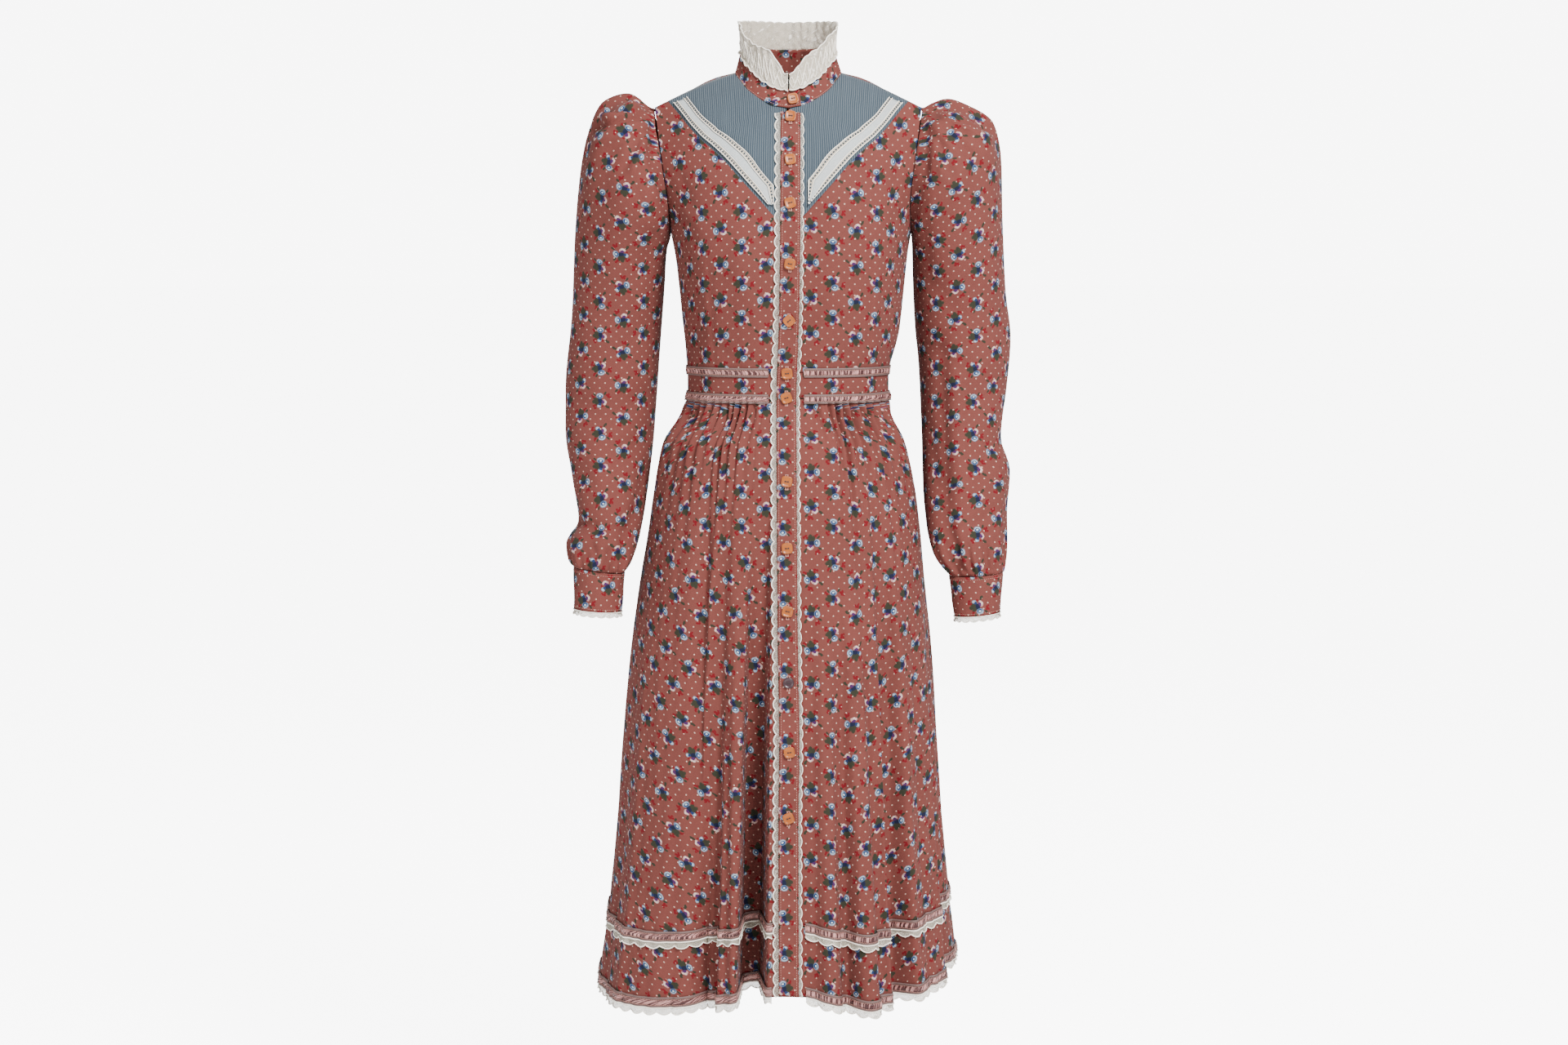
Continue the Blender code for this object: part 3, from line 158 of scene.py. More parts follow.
# Skirt folds: degrees from the centre front (right is positive), half width in degrees, depth
# (inward is positive), heading of the push in degrees, softness of its edge, height it starts at
SKIRT_FOLDS = (
    (-58, 22, -10, -58, 1.00, -480),
    (-33.5, 6.5, 34, -22, 0.75, -450),
    (-14.2, 6.4, 80, 2, 0.50, -500),
    (16.8, 8.2, -17, 13, 0.90, -520),
    (24, 5, 9, 20, 1.00, -600),
    (31.5, 7.5, -20, 24, 0.90, -560),
    (47, 6.5, 30, 40, 0.70, -450),
    (81, 9, 22, 80, 0.90, -600),
    (106, 17, -17, 106, 1.00, -500),
    (129, 9, 32, 128, 0.85, -450),
    (147, 9, -10, 147, 1.00, -500),
    (163, 8.5, 44, 164, 0.80, -440),
    (-179, 9, -8, -179, 1.00, -480),
    (-162, 8.5, 38, -163, 0.80, -440),
    (-145, 9, -10, -145, 1.00, -520),
    (-128, 8.5, 34, -128, 0.85, -460),
    (-107, 8, 24, -107, 0.90, -620),
)

# Where the skirt's edge hangs lower: degrees from the centre front, millimetres
HEM_DROP = ((-180, 0), (-130, -6), (-85, -22), (-56, -24), (-24, -12), (-13, -3), (0, 0), (14, -6),
            (30, -18), (55, -12), (80, -4), (110, 0), (180, 0))

# Cloth gathered into the waistband: degrees from the centre front, share of the full gather
GATHER_SHARE = ((-180, 1), (-90, 0.8), (-66, 0.9), (-34, 1), (-22, 0.2), (0, 0), (20, 0.2),
                (32, 1), (70, 0.8), (180, 1))
GATHER_DEPTH = 0.0042
GATHER_START, GATHER_FULL = 0.006, 0.026    # below the waistband
GATHER_FADE = 0.085

SLEEVE_HEAD = 0.06        # share of the sleeve over which it leaves the shape of the armhole
CAP_PLEATS = (115, 60)    # degrees from the shoulder where the cap's pleats begin and are full
# Sleeves, armhole to cuff: share of the way, outer x and z, inner x and z, middle y, half depth,
# depth of the cap's pleats, depth of the gathers into the cuff
SLEEVE_LEFT = (
    (0.00, 160.5, -42, 141.8, -195, -4, 46, 0, 0),
    (0.03, 174, -34, 142.6, -197.5, -3, 54, 0.8, 0),
    (0.07, 192, -27.5, 143.2, -200, 0, 65, 3.2, 0),
    (0.13, 221, -38, 144.5, -204, 2, 72, 4.5, 0),
    (0.20, 240, -74, 146.8, -211, 6, 73, 3.5, 0),
    (0.28, 251.5, -123, 148.5, -224, 12, 69, 1.5, 0),
    (0.38, 259.5, -190, 150.5, -253, 22, 63, 0, 0),
    (0.50, 265, -290, 156.5, -325, 33, 57, 0, 0),
    (0.62, 274, -385, 162, -398, 37, 56, 0, 0),
    (0.68, 274, -430, 165, -440, 30, 55, 0, 0),
    (0.76, 264, -492, 172, -505, 8, 50, 0, 0),
    (0.83, 255.5, -540, 179.5, -556, -12, 47, 0, 0.6),
    (0.89, 268, -567, 186, -582, -26, 44, 0, 1.8),
    (0.95, 264, -587, 194, -597, -35, 38, 0, 2.4),
    (1.00, 260, -594, 198, -602, -38, 31, 0, 1.2),
)
CUFF_LEFT = ((0, 260.3, -594.4, 197.8, -602.4, -38.3, 31.2), (1, 259, -644, 201, -647.5, -53, 29))
SLEEVE_RIGHT = (
    (0.00, 160.5, -42, 149.0, -195, -4, 46, 0, 0),
    (0.03, 174, -36, 149.5, -197.5, -3, 54, 0.8, 0),
    (0.07, 190, -34, 149.8, -200, 0, 65, 3.2, 0),
    (0.13, 217, -43.5, 150.2, -204, 2, 72, 4.5, 0),
    (0.20, 246, -62, 150.6, -211, 6, 74, 3.5, 0),
    (0.28, 257.5, -104, 151.2, -224, 12, 70, 1.5, 0),
    (0.38, 261.5, -180, 152.5, -253, 22, 64, 0, 0),
    (0.50, 266.5, -262, 156, -310, 32, 58, 0, 0),
    (0.59, 273.5, -322, 160, -346, 37, 56, 0, 0),
    (0.66, 269.5, -377, 163, -398, 36, 55, 0, 0),
    (0.74, 261.5, -440, 164.5, -452, 20, 52, 0, 0),
    (0.80, 271, -480, 164.8, -497, 5, 50, 0, 0.4),
    (0.88, 266, -530, 167, -540, -13, 48, 0, 1.2),
    (0.95, 263.5, -575, 176, -580, -28, 42, 0, 2.4),
    (1.00, 261, -601, 195, -605.5, -37, 31, 0, 1.2),
)
CUFF_RIGHT = ((0, 261, -601.4, 195, -605.9, -37.3, 31.2), (1, 256.5, -648, 201, -653.5, -52, 28.5))

# Collar, by degrees from the centre front: rise of the stand, lean towards the neck
STAND_RISE = ((0, 21), (60, 25), (90, 26.5), (180, 30))
STAND_LEAN = 0.12
# Height of the lace above the stand, by degrees from the centre front
COLLAR_LACE_RISE = ((-180, 32), (-90, 31.5), (-50, 31), (-20, 38), (-8, 24), (-4, 17), (4, 17),
                    (10, 24), (20, 32), (45, 33), (90, 31), (180, 32))
STAND_OVER = 12.0         # degrees past the centre that the buttoning end reaches
STAND_UNDER = -10.0       # degrees past the centre that the end under it reaches
OVER_LIFT = (-36.0, -16.0)    # degrees between which the buttoning end lifts over the other


def smooth_table(knots, values, at, leave=None):
    """Follow a table's rows with a smooth curve that never overshoots a row.

    leave scales the slope with which each value leaves the first row.
    """
    knots = np.asarray(knots, float)
    values = np.asarray(values, float)
    values = values.reshape(len(knots), -1)
    at = np.clip(np.asarray(at, float), knots[0], knots[-1])
    spans = np.diff(knots)[:, None]
    slopes = np.diff(values, axis=0) / spans
    tangents = np.zeros_like(values)
    tangents[0] = slopes[0] if leave is None else slopes[0] * leave
    tangents[-1] = slopes[-1]
    before, after = slopes[:-1], slopes[1:]
    same_way = before * after > 0
    safe_before = np.where(same_way, before, 1.0)
    safe_after = np.where(same_way, after, 1.0)
    weight_a = 2 * spans[1:] + spans[:-1]
    weight_b = spans[1:] + 2 * spans[:-1]
    mean = (weight_a + weight_b) / (weight_a / safe_before + weight_b / safe_after)
    tangents[1:-1] = np.where(same_way, mean, 0.0)
    row = np.clip(np.searchsorted(knots, at, side="right") - 1, 0, len(knots) - 2)
    span = spans[row, 0]
    share = ((at - knots[row]) / span)[..., None]
    span = span[..., None]
    start = (1 + 2 * share) * (1 - share) ** 2 * values[row]
    start = start + share * (1 - share) ** 2 * span * tangents[row]
    end = share ** 2 * (3 - 2 * share) * values[row + 1]
    end = end + share ** 2 * (share - 1) * span * tangents[row + 1]
    return start + end


def lookup(table, at):
    """One value from a two-column table."""
    return smooth_table([row[0] for row in table], [row[1] for row in table], at)[..., 0]


def respaced(values, length, where):
    """Points or normals along a line, read off at chosen lengths."""
    return np.stack([np.interp(where, length, values[:, axis]) for axis in range(3)], axis=-1)


def ease(low, high, value):
    """Rise smoothly from 0 at low to 1 at high."""
    share = np.clip((value - low) / (high - low), 0.0, 1.0)
    return share * share * (3 - 2 * share)


# ---- the bodice ----

def edge_line(rows, column, corner, leaves, up):
    """An edge column of the bodice, which turns a corner where the neck or armhole begins."""
    below = [row for row in rows if row[0] <= corner]
    above = [row for row in rows if row[0] >= corner]
    line = smooth_table([row[0] for row in below], [row[column] for row in below], up)
    curve = smooth_table([row[0] for row in above], [row[column] for row in above], up, leaves)
    return np.where((up > corner)[..., None], curve, line)


def bodice(rows, side, across, up):
    """Point on a half of the bodice: side is -1 or 1, across runs from the centre to the side."""
    across, up = np.broadcast_arrays(np.asarray(across, float), np.asarray(up, float))
    table = smooth_table([row[0] for row in rows], [sum(row[1:], ()) for row in rows], up) * MM
    table[..., :3] = edge_line(rows, 1, NECK_SHARE, NECK_LEAVES, up) * MM
    table[..., -3:] = edge_line(rows, 4, ARM_SHARE, ARM_LEAVES, up) * MM
    post = [table[..., 3 * i:3 * i + 3] for i in range(4)]
    knots = COLUMN_SHARES
    slope = [(post[i + 1] - post[i]) / (knots[i + 1] - knots[i]) for i in range(3)]
    at_neck = ease(NECK_SHARE - NECK_BLEND, NECK_SHARE + NECK_BLEND, up)[..., None]
    level = slope[0].copy()
    level[..., 1:] = 0.0
    first = level * (1 - at_neck) + slope[0] * at_neck
    at_arm = ease(ARM_SHARE, ARM_SHARE + ARM_BLEND, up)[..., None]
    around_side = np.zeros_like(slope[2])
    around_side[..., 1] = slope[2][..., 1] * SIDE_ROUNDING
    last = around_side * (1 - at_arm) + slope[2] * at_arm
    middle = [(slope[i] * (knots[i + 2] - knots[i + 1]) + slope[i + 1] * (knots[i + 1] - knots[i]))
              / (knots[i + 2] - knots[i]) for i in range(2)]
    tangent = [first, middle[0], middle[1], last]
    point = np.zeros_like(post[0])
    for i in range(3):
        width = knots[i + 1] - knots[i]
        share = np.clip((across - knots[i]) / width, 0.0, 1.0)[..., None]
        piece = (1 + 2 * share) * (1 - share) ** 2 * post[i]
        piece = piece + share * (1 - share) ** 2 * width * tangent[i]
        piece = piece + share ** 2 * (3 - 2 * share) * post[i + 1]
        piece = piece + share ** 2 * (share - 1) * width * tangent[i + 1]
        inside = (across >= knots[i]) if i else (across >= -1.0)
        point = np.where(inside[..., None], piece, point)
    point[..., 0] = side * point[..., 0] + lookup(BODICE_LEAN, up) * MM * across
    return point


def unit(vectors):
    """Vectors scaled to a length of 1."""
    return vectors / np.linalg.norm(vectors, axis=-1, keepdims=True)


def bodice_face(rows, side, across, up):
    """Unit normal of one face of a half of the bodice."""
    step = NORMAL_STEP
    right = bodice(rows, side, np.minimum(across + step, 1), up)
    left = bodice(rows, side, np.maximum(across - step, 0), up)
    above = bodice(rows, side, across, np.minimum(up + step, 1))
    below = bodice(rows, side, across, np.maximum(up - step, 0))
    turn = 1 if rows is FRONT_ROWS else -1
    return unit(np.cross(right - left, above - below)) * side * turn


def bodice_outward(rows, side, across, up):
    """Normals of the bodice, shared by the front and the back along the seams between them."""
    across, up = np.broadcast_arrays(np.asarray(across, float), np.asarray(up, float))
    other = BACK_ROWS if rows is FRONT_ROWS else FRONT_ROWS
    mine = bodice_face(rows, side, across, up)
    both = unit(mine + bodice_face(other, side, across, up))
    on_seam = (up > 0.999) | ((across > 0.999) & (up < ARM_SHARE + 0.001))
    return np.where(on_seam[..., None], both, mine)


def bodice_ring(up):
    """The bodice at one level, as radii by degrees from the centre front."""
    across = np.linspace(0, 1, 61)
    loop = [bodice(rows, side, across, up) for rows in (FRONT_ROWS, BACK_ROWS) for side in (-1, 1)]
    points = np.concatenate(loop)
    degrees = np.degrees(np.arctan2(points[:, 0], -points[:, 1]))
    order = np.argsort(degrees)
    return degrees[order], np.hypot(points[order, 0], points[order, 1])


def waist_radius():
    """The waist seam as a radius by degrees from the centre front, carried past a full turn."""
    degrees, radius = bodice_ring(0.0)
    return np.concatenate((degrees - 360, degrees, degrees + 360)), np.tile(radius, 3)


# ---- the skirt ----

WAIST_DEGREES, WAIST_RADII = waist_radius()


def wrap(degrees):
    """Degrees brought between -180 and 180."""
    return (np.asarray(degrees, float) + 180.0) % 360.0 - 180.0


def skirt_shell(degrees, level):
    """Point on the skirt without its waist gathers, at a nominal level."""
    degrees, level = np.broadcast_arrays(wrap(degrees), np.asarray(level, float))
    angle = np.radians(degrees)
    reach = smooth_table([-row[0] for row in SKIRT_ROWS], [row[1:] for row in SKIRT_ROWS],
                         -level / MM) * MM
    sideways = np.where(degrees > 0, reach[..., 1], reach[..., 0])
    forward = np.where(np.cos(angle) > 0, reach[..., 2], reach[..., 3])
    power = SKIRT_SQUARENESS
    oval = (np.abs(np.sin(angle) / sideways) ** power
            + np.abs(np.cos(angle) / forward) ** power) ** (-1 / power)
    seam = np.interp(degrees, WAIST_DEGREES, WAIST_RADII)
    free = ease(WAIST_LOW, WAIST_LOW - WAIST_BLEND, level)
    radius = seam * (1 - free) + oval * free
    x = radius * np.sin(angle)
    y = -radius * np.cos(angle)
    for centre, half, depth, heading, softness, start in SKIRT_FOLDS:
        away = np.abs(wrap(degrees - centre)) / half
        bump = ease(1.0, 1.0 - softness, away)
        growth = np.clip((start * MM - level) / (start * MM - HEM), 0, 1)
        push = depth * MM * bump * growth ** FOLD_GROWTH
        x = x - push * math.sin(math.radians(heading))
        y = y + push * math.cos(math.radians(heading))
    down = (level - WAIST_LOW) / (HEM - WAIST_LOW)
    z = level + lookup(HEM_DROP, degrees) * MM * down
    return np.stack((x, y, z), axis=-1)


def hem_lengths():
    """Share of the hem's length reached at each angle, from the back's middle."""
    degrees = np.linspace(-180, 180, 1441)
    points = skirt_shell(degrees, HEM)
    steps = np.linalg.norm(np.diff(points, axis=0), axis=1)
    reached = np.concatenate(([0.0], np.cumsum(steps)))
    return degrees, reached / reached[-1]


HEM_DEGREES, HEM_SHARES = hem_lengths()


def cloth_share(degrees):
    """Share of the hem's length reached at an angle."""
    return np.interp(wrap(degrees), HEM_DEGREES, HEM_SHARES)


def cloth_degrees(share):
    """Angle at a share of the hem's length."""
    turns = np.floor(share)
    return np.interp(share - turns, HEM_SHARES, HEM_DEGREES) + 360.0 * turns


def skirt(degrees, level):
    """Point on the skirt with the cloth gathered into the waistband."""
    degrees, level = np.broadcast_arrays(np.asarray(degrees, float), np.asarray(level, float))
    point = skirt_shell(degrees, level).copy()
    below = WAIST_LOW - level
    swell = ease(GATHER_START, GATHER_FULL, below) * np.exp(-below / GATHER_FADE)
    wave = np.cos(2 * math.pi * 15 * cloth_share(degrees))
    push = GATHER_DEPTH * swell * wave * lookup(GATHER_SHARE, wrap(degrees))
    angle = np.radians(wrap(degrees))
    point[..., 0] += push * np.sin(angle)
    point[..., 1] -= push * np.cos(angle)
    return point


# ---- the sleeves ----

def panel_edge(rows, side, across, up):
    """Follow the straight-sided edge of a bodice panel between the rows of its grid."""
    levels = np.array(ARM_LEVELS[::-1])
    edge = bodice(rows, side, across, levels)
    return respaced(edge, levels, up)


def armhole(side, degrees):
    """Armhole seam by degrees from the shoulder: minus is the front, 180 is under the arm."""
    degrees = np.asarray(degrees, float)
    down = np.abs(np.sin(np.radians(degrees) / 2)) ** ARMHOLE_SPREAD
    up = 1 - (1 - ARM_SHARE) * down
    front = panel_edge(FRONT_ROWS, side, 1.0, up)
    back = panel_edge(BACK_ROWS, side, 1.0, up)
    return np.where((degrees < 0)[..., None], front, back)


def tube_ring(side, ring, degrees, extra):
    """Oval ring from an outer point, an inner point, a middle y and a half depth."""
    outer = np.stack((side * ring[..., 0], ring[..., 4], ring[..., 1]), axis=-1) * MM
    inner = np.stack((side * ring[..., 2], ring[..., 4], ring[..., 3]), axis=-1) * MM
    middle = (outer + inner) / 2
    arm = (outer - inner) / 2
    size = np.linalg.norm(arm, axis=-1, keepdims=True)
    angle = np.radians(degrees)[..., None]
    depth = ring[..., 5:6] * MM
    spread = np.cos(angle) * (size + extra[..., None]) / size
    point = middle + arm * spread
    point[..., 1] = point[..., 1] + (np.sin(angle) * (depth + extra[..., None]))[..., 0]
    return point


def sleeve(side, table, degrees, along):
    """Point on a sleeve: degrees from the shoulder, along from the armhole to the cuff."""
    degrees, along = np.broadcast_arrays(np.asarray(degrees, float), np.asarray(along, float))
    ring = smooth_table([row[0] for row in table], [row[1:] for row in table], along)
    turn = np.sign(degrees) * (np.abs(degrees) / 180) ** (1 / SLEEVE_CROWDING)
    wave = np.cos(math.pi * turn * 7)
    on_cap = ease(*CAP_PLEATS, np.abs(degrees))
    extra = wave * (ring[..., 6] * on_cap + ring[..., 7]) * MM
    tube = tube_ring(side, ring, degrees, extra)
    seam = armhole(side, degrees)
    seam[..., 0] += side * SLEEVE_GAP
    free = ease(0.0, SLEEVE_HEAD, along)[..., None]
    return seam * (1 - free) + tube * free


def cuff(side, table, degrees, along):
    """Point on a cuff: degrees from its outer side, along from its seam to the wrist."""
    degrees, along = np.broadcast_arrays(np.asarray(degrees, float), np.asarray(along, float))
    ring = smooth_table([row[0] for row in table], [row[1:] for row in table], along)
    return tube_ring(side, ring, degrees, np.zeros_like(along))


# ---- the collar ----

def neckline(degrees):
    """Neck seam by degrees from the centre front, positive to the right."""
    degrees = wrap(degrees)
    turn = np.abs(degrees)
    on_front = NECK_SHARE + (1 - NECK_SHARE) * np.clip(turn / 90, 0, 1)
    on_back = NECK_SHARE + (1 - NECK_SHARE) * np.clip((180 - turn) / 90, 0, 1)
    front = panel_edge(FRONT_ROWS, 1, 0.0, on_front)
    back = panel_edge(BACK_ROWS, 1, 0.0, on_back)
    point = np.where((turn <= 90)[..., None], front, back)
    point[..., 0] *= np.sign(degrees)
    return point


def collar(degrees, height):
    """Point on the collar: height 0 at the neck seam, 1 at the top of the stand."""
    degrees, height = np.broadcast_arrays(np.asarray(degrees, float), np.asarray(height, float))
    point = neckline(degrees).copy()
    rise = lookup(STAND_RISE, np.abs(wrap(degrees))) * MM
    shrink = 1 - STAND_LEAN * height
    point[..., 0] *= shrink
    point[..., 1] *= shrink
    point[..., 2] += rise * height
    return point


def collar_outward(degrees, height):
    """Outward normal of the collar."""
    across = collar(degrees + 1, height) - collar(degrees - 1, height)
    return unit(np.cross(across, collar(degrees, height + 0.1) - collar(degrees, height - 0.1)))


# ---- materials ----

def colour(code):
    """An sRGB hex colour as linear light."""
    parts = [int(code[i:i + 2], 16) / 255 for i in (0, 2, 4)]
    return tuple(p / 12.92 if p <= 0.04045 else ((p + 0.055) / 1.055) ** 2.4 for p in parts) + (1.0,)


def add(tree, kind, sockets=(), **settings):
    """Add one node. sockets maps an input's name or number to a value or to another node's output."""
    node = tree.nodes.new(kind)
    for name, value in settings.items():
        setattr(node, name, value)
    for name, value in dict(sockets).items():
        socket = node.inputs[name]
        if isinstance(value, bpy.types.NodeSocket):
            tree.links.new(value, socket)
        else:
            socket.default_value = value
    return node


def new_finish(name, roughness, **sockets):
    """An empty finish: its node tree, its shader and the cloth's own map in metres."""
    material = bpy.data.materials.new(name)
    material.use_nodes = True
    tree = material.node_tree
    shader = tree.nodes["Principled BSDF"]
    shader.inputs["Roughness"].default_value = roughness
    for socket, value in sockets.items():
        shader.inputs[socket.replace("_", " ")].default_value = value
    cloth_map = add(tree, "ShaderNodeUVMap", uv_map="cloth").outputs[0]
    return material, tree, shader, cloth_map


def sums(tree, operation, first, second=0.0, third=0.0):
    """One step of sums on numbers."""
    return add(tree, "ShaderNodeMath", {0: first, 1: second, 2: third}, operation=operation).outputs[0]


def places(tree, operation, first, second=(0, 0, 0)):
    """One step of sums on places; a length comes out as a number."""
    node = add(tree, "ShaderNodeVectorMath", {0: first, 1: second}, operation=operation)
    return node.outputs["Value" if operation == "LENGTH" else "Vector"]


def over(tree, share, under, top):
    """Lay one colour over another."""
    node = add(tree, "ShaderNodeMix", {"Factor": share, 6: under, 7: top}, data_type="RGBA")
    return node.outputs[2]


def spot(tree, place, centre, size, turn=0.0, soft=0.16):
    """1 inside an oval printed spot and 0 outside it. centre and size are in millimetres."""
    local = add(tree, "ShaderNodeMapping", {
        "Vector": place, "Location": (centre[0] * MM, centre[1] * MM, 0.0),
        "Rotation": (0.0, 0.0, math.radians(turn)),
        "Scale": (size[0] * MM, size[1] * MM, 1.0)}, vector_type="TEXTURE").outputs[0]
    reach = places(tree, "LENGTH", local)
    return add(tree, "ShaderNodeMapRange", {
        "Value": reach, "From Min": 1 + soft, "From Max": 1 - soft}).outputs[0]


def nearest(tree, place, pitch, shift):
    """Where a point lies from the nearest site of a lattice, in metres, and the site's number."""
    pitch = (pitch[0] * MM, pitch[1] * MM, 1.0)
    scaled = add(tree, "ShaderNodeVectorMath", {0: place, 1: pitch}, operation="DIVIDE").outputs[0]
    scaled = places(tree, "ADD", scaled, (shift, shift, 0.5))
    share = places(tree, "SUBTRACT", places(tree, "FRACTION", scaled), (0.5, 0.5, 0.5))
    return places(tree, "MULTIPLY", share, (pitch[0], pitch[1], 0.0)), places(tree, "FLOOR", scaled)


DOT_PITCH = (13.3, 13.3)      # pin dots, on a centred lattice
DOT_REACH = (0.82, 0.82)
POSY_PITCH = (54.0, 42.0)     # posies, on a centred lattice
POSY_LEAN, POSY_TURN = -12, 80    # degrees, on the lattice's corners and on its centres
PRINT_BLEED = 0.0011          # metres that the ink wanders over the yarns
# A posy: colour, then spots as (x, y, half width, half height, turn). Later ones lie on top.
POSY = (
    ("2B2B20", ((0.0, 8.0, 2.5, 3.6, 0), (-3.2, 6.2, 1.9, 3.2, 30), (3.4, 6.4, 1.8, 3.0, -32),
                (-9.0, -6.0, 2.8, 1.3, 32), (-10.2, -8.0, 1.8, 1.0, 0), (9.0, 6.2, 2.4, 1.2, 35),
                (8.2, -7.2, 2.6, 1.3, -35), (0.2, 3.6, 4.2, 2.6, 0))),
    ("14182E", ((0.2, 0.7, 4.4, 2.6, 0),)),
    ("640D15", ((-5.6, 10.4, 1.9, 1.4, 20), (-8.2, 9.0, 1.4, 1.7, 0), (-4.6, 7.9, 1.2, 1.3, 0),
                (6.0, 8.2, 1.4, 1.6, 0), (8.0, 9.6, 1.5, 1.2, 0), (3.4, -10.2, 2.1, 1.5, 15),
                (6.2, -11.6, 1.8, 1.2, 0), (5.8, -9.0, 1.4, 1.5, 0), (2.2, -12.6, 1.3, 1.1, 0),
                (-7.6, -1.0, 1.2, 1.3, 0))),
    ("71889A", ((-6.2, 3.2, 2.2, 2.5, 20),)),
    ("1C2C50", ((-4.9, 2.3, 1.7, 2.2, 20),)),
    ("9FABB0", ((-6.5, 3.7, 0.9, 1.1, 0),)),
    ("566E84", ((6.2, -0.1, 3.4, 4.4, -8),)),
    ("8D9FAA", ((6.9, -0.2, 2.3, 3.5, -8),)),
    ("1F3058", ((5.6, 0.1, 2.3, 3.0, -8),)),
    ("A8B2B5", ((5.8, 0.0, 1.1, 1.4, 0),)),
    ("A37A78", ((-4.9, -3.9, 1.9, 1.8, 0), (-2.7, -5.3, 2.5, 1.7, 0), (-0.6, -4.0, 1.8, 1.8, 0))),
    ("BCA89E", ((-3.1, -5.6, 1.7, 1.1, 0), (-5.1, -4.1, 1.0, 0.9, 0))),
    ("3F1E48", ((-2.3, -2.4, 2.7, 1.4, 0), (-2.8, -3.8, 1.0, 0.8, 0))),
)


def woven(tree, shader, cloth_map, strength, pitch=0.9, ground=None):
    """Bump of a plain weave: fine crossing threads, drawn a little coarse so that they show."""
    scaled = places(tree, "SCALE", cloth_map)
    scaled.node.inputs["Scale"].default_value = 1000.0 * math.pi / pitch
    split = add(tree, "ShaderNodeSeparateXYZ", {0: scaled})
    warp = sums(tree, "SINE", split.outputs[0])
    weft = sums(tree, "SINE", split.outputs[1])
    height = sums(tree, "MULTIPLY", warp, weft)
    if ground is not None:
        height = sums(tree, "ADD", height, ground)
    bump = add(tree, "ShaderNodeBump", {"Height": height, "Strength": strength, "Distance": 0.0003})
    tree.links.new(bump.outputs[0], shader.inputs["Normal"])


def washed_ground(tree, cloth_map):
    """Plum-brown dye that has faded unevenly, over yarn with pale slubs."""
    fade = add(tree, "ShaderNodeTexNoise", {"Vector": cloth_map, "Scale": 9.0, "Detail": 4.0})
    cloth = over(tree, fade.outputs[0], colour("592D28"), colour("6C3832"))
    slub = add(tree, "ShaderNodeMapping", {"Vector": cloth_map, "Scale": (260.0, 2200.0, 1.0)})
    slub = add(tree, "ShaderNodeTexNoise", {"Vector": slub.outputs[0], "Scale": 1.0, "Detail": 2.0})
    return over(tree, sums(tree, "MULTIPLY", slub.outputs[0], 0.14), cloth, colour("805048"))


def posy_place(tree, place):
    """Where a point lies in its nearest posy, with the posies leaned, turned and mirrored by turns."""
    upright, site = nearest(tree, place, POSY_PITCH, 0.0)
    turned, other = nearest(tree, place, POSY_PITCH, 0.5)
    is_upright = sums(tree, "LESS_THAN", places(tree, "LENGTH", upright), places(tree, "LENGTH", turned))
    leaned, swapped = (add(tree, "ShaderNodeVectorRotate", {
        "Vector": way, "Angle": math.radians(turn)}, rotation_type="Z_AXIS").outputs[0]
        for way, turn in ((upright, POSY_LEAN), (turned, POSY_TURN)))
    posy, number = (add(tree, "ShaderNodeMix", {
        "Factor": is_upright, 4: second, 5: first}, data_type="VECTOR").outputs[1]
        for second, first in ((swapped, leaned), (other, site)))
    split = add(tree, "ShaderNodeSeparateXYZ", {0: number})
    odd_row = sums(tree, "FLOORED_MODULO", split.outputs[1], 2.0)
    odd_column = sums(tree, "FLOORED_MODULO", split.outputs[0], 2.0)
    signs = add(tree, "ShaderNodeCombineXYZ", {
        0: sums(tree, "MULTIPLY_ADD", odd_row, -2.0, 1.0),
        1: sums(tree, "MULTIPLY_ADD", odd_column, -2.0, 1.0),
        2: 1.0}).outputs[0]
    return places(tree, "MULTIPLY", posy, signs)


def calico_finish():
    """Printed cotton calico, washed soft: matt, a plain weave, small posies and pin dots."""
    material, tree, shader, cloth_map = new_finish("printed_cotton_calico", 0.88,
                                                   Sheen_Weight=0.02, Sheen_Roughness=0.5)
    shader.inputs["Specular IOR Level"].default_value = 0.15
    wander = add(tree, "ShaderNodeTexNoise", {"Vector": cloth_map, "Scale": 420.0, "Detail": 1.0})
    shake = places(tree, "SUBTRACT", wander.outputs["Color"], (0.5, 0.5, 0.5))
    shake = places(tree, "MULTIPLY", shake, (PRINT_BLEED, PRINT_BLEED, 0.0))
    place = places(tree, "ADD", cloth_map, shake)
    cloth = washed_ground(tree, cloth_map)
    for shift in (0.0, 0.5):
        dot, _ = nearest(tree, cloth_map, DOT_PITCH, shift)
        cloth = over(tree, spot(tree, dot, (0, 0), DOT_REACH, soft=0.35), cloth, colour("BC9F90"))
    posy = posy_place(tree, place)
    for code, spots in POSY:
        for x, y, half_width, half_height, turn in spots:
            inside = spot(tree, posy, (x, y), (half_width, half_height), turn)
            cloth = over(tree, inside, cloth, colour(code))
    tree.links.new(cloth, shader.inputs["Base Color"])
    woven(tree, shader, cloth_map, 0.22)
    return material


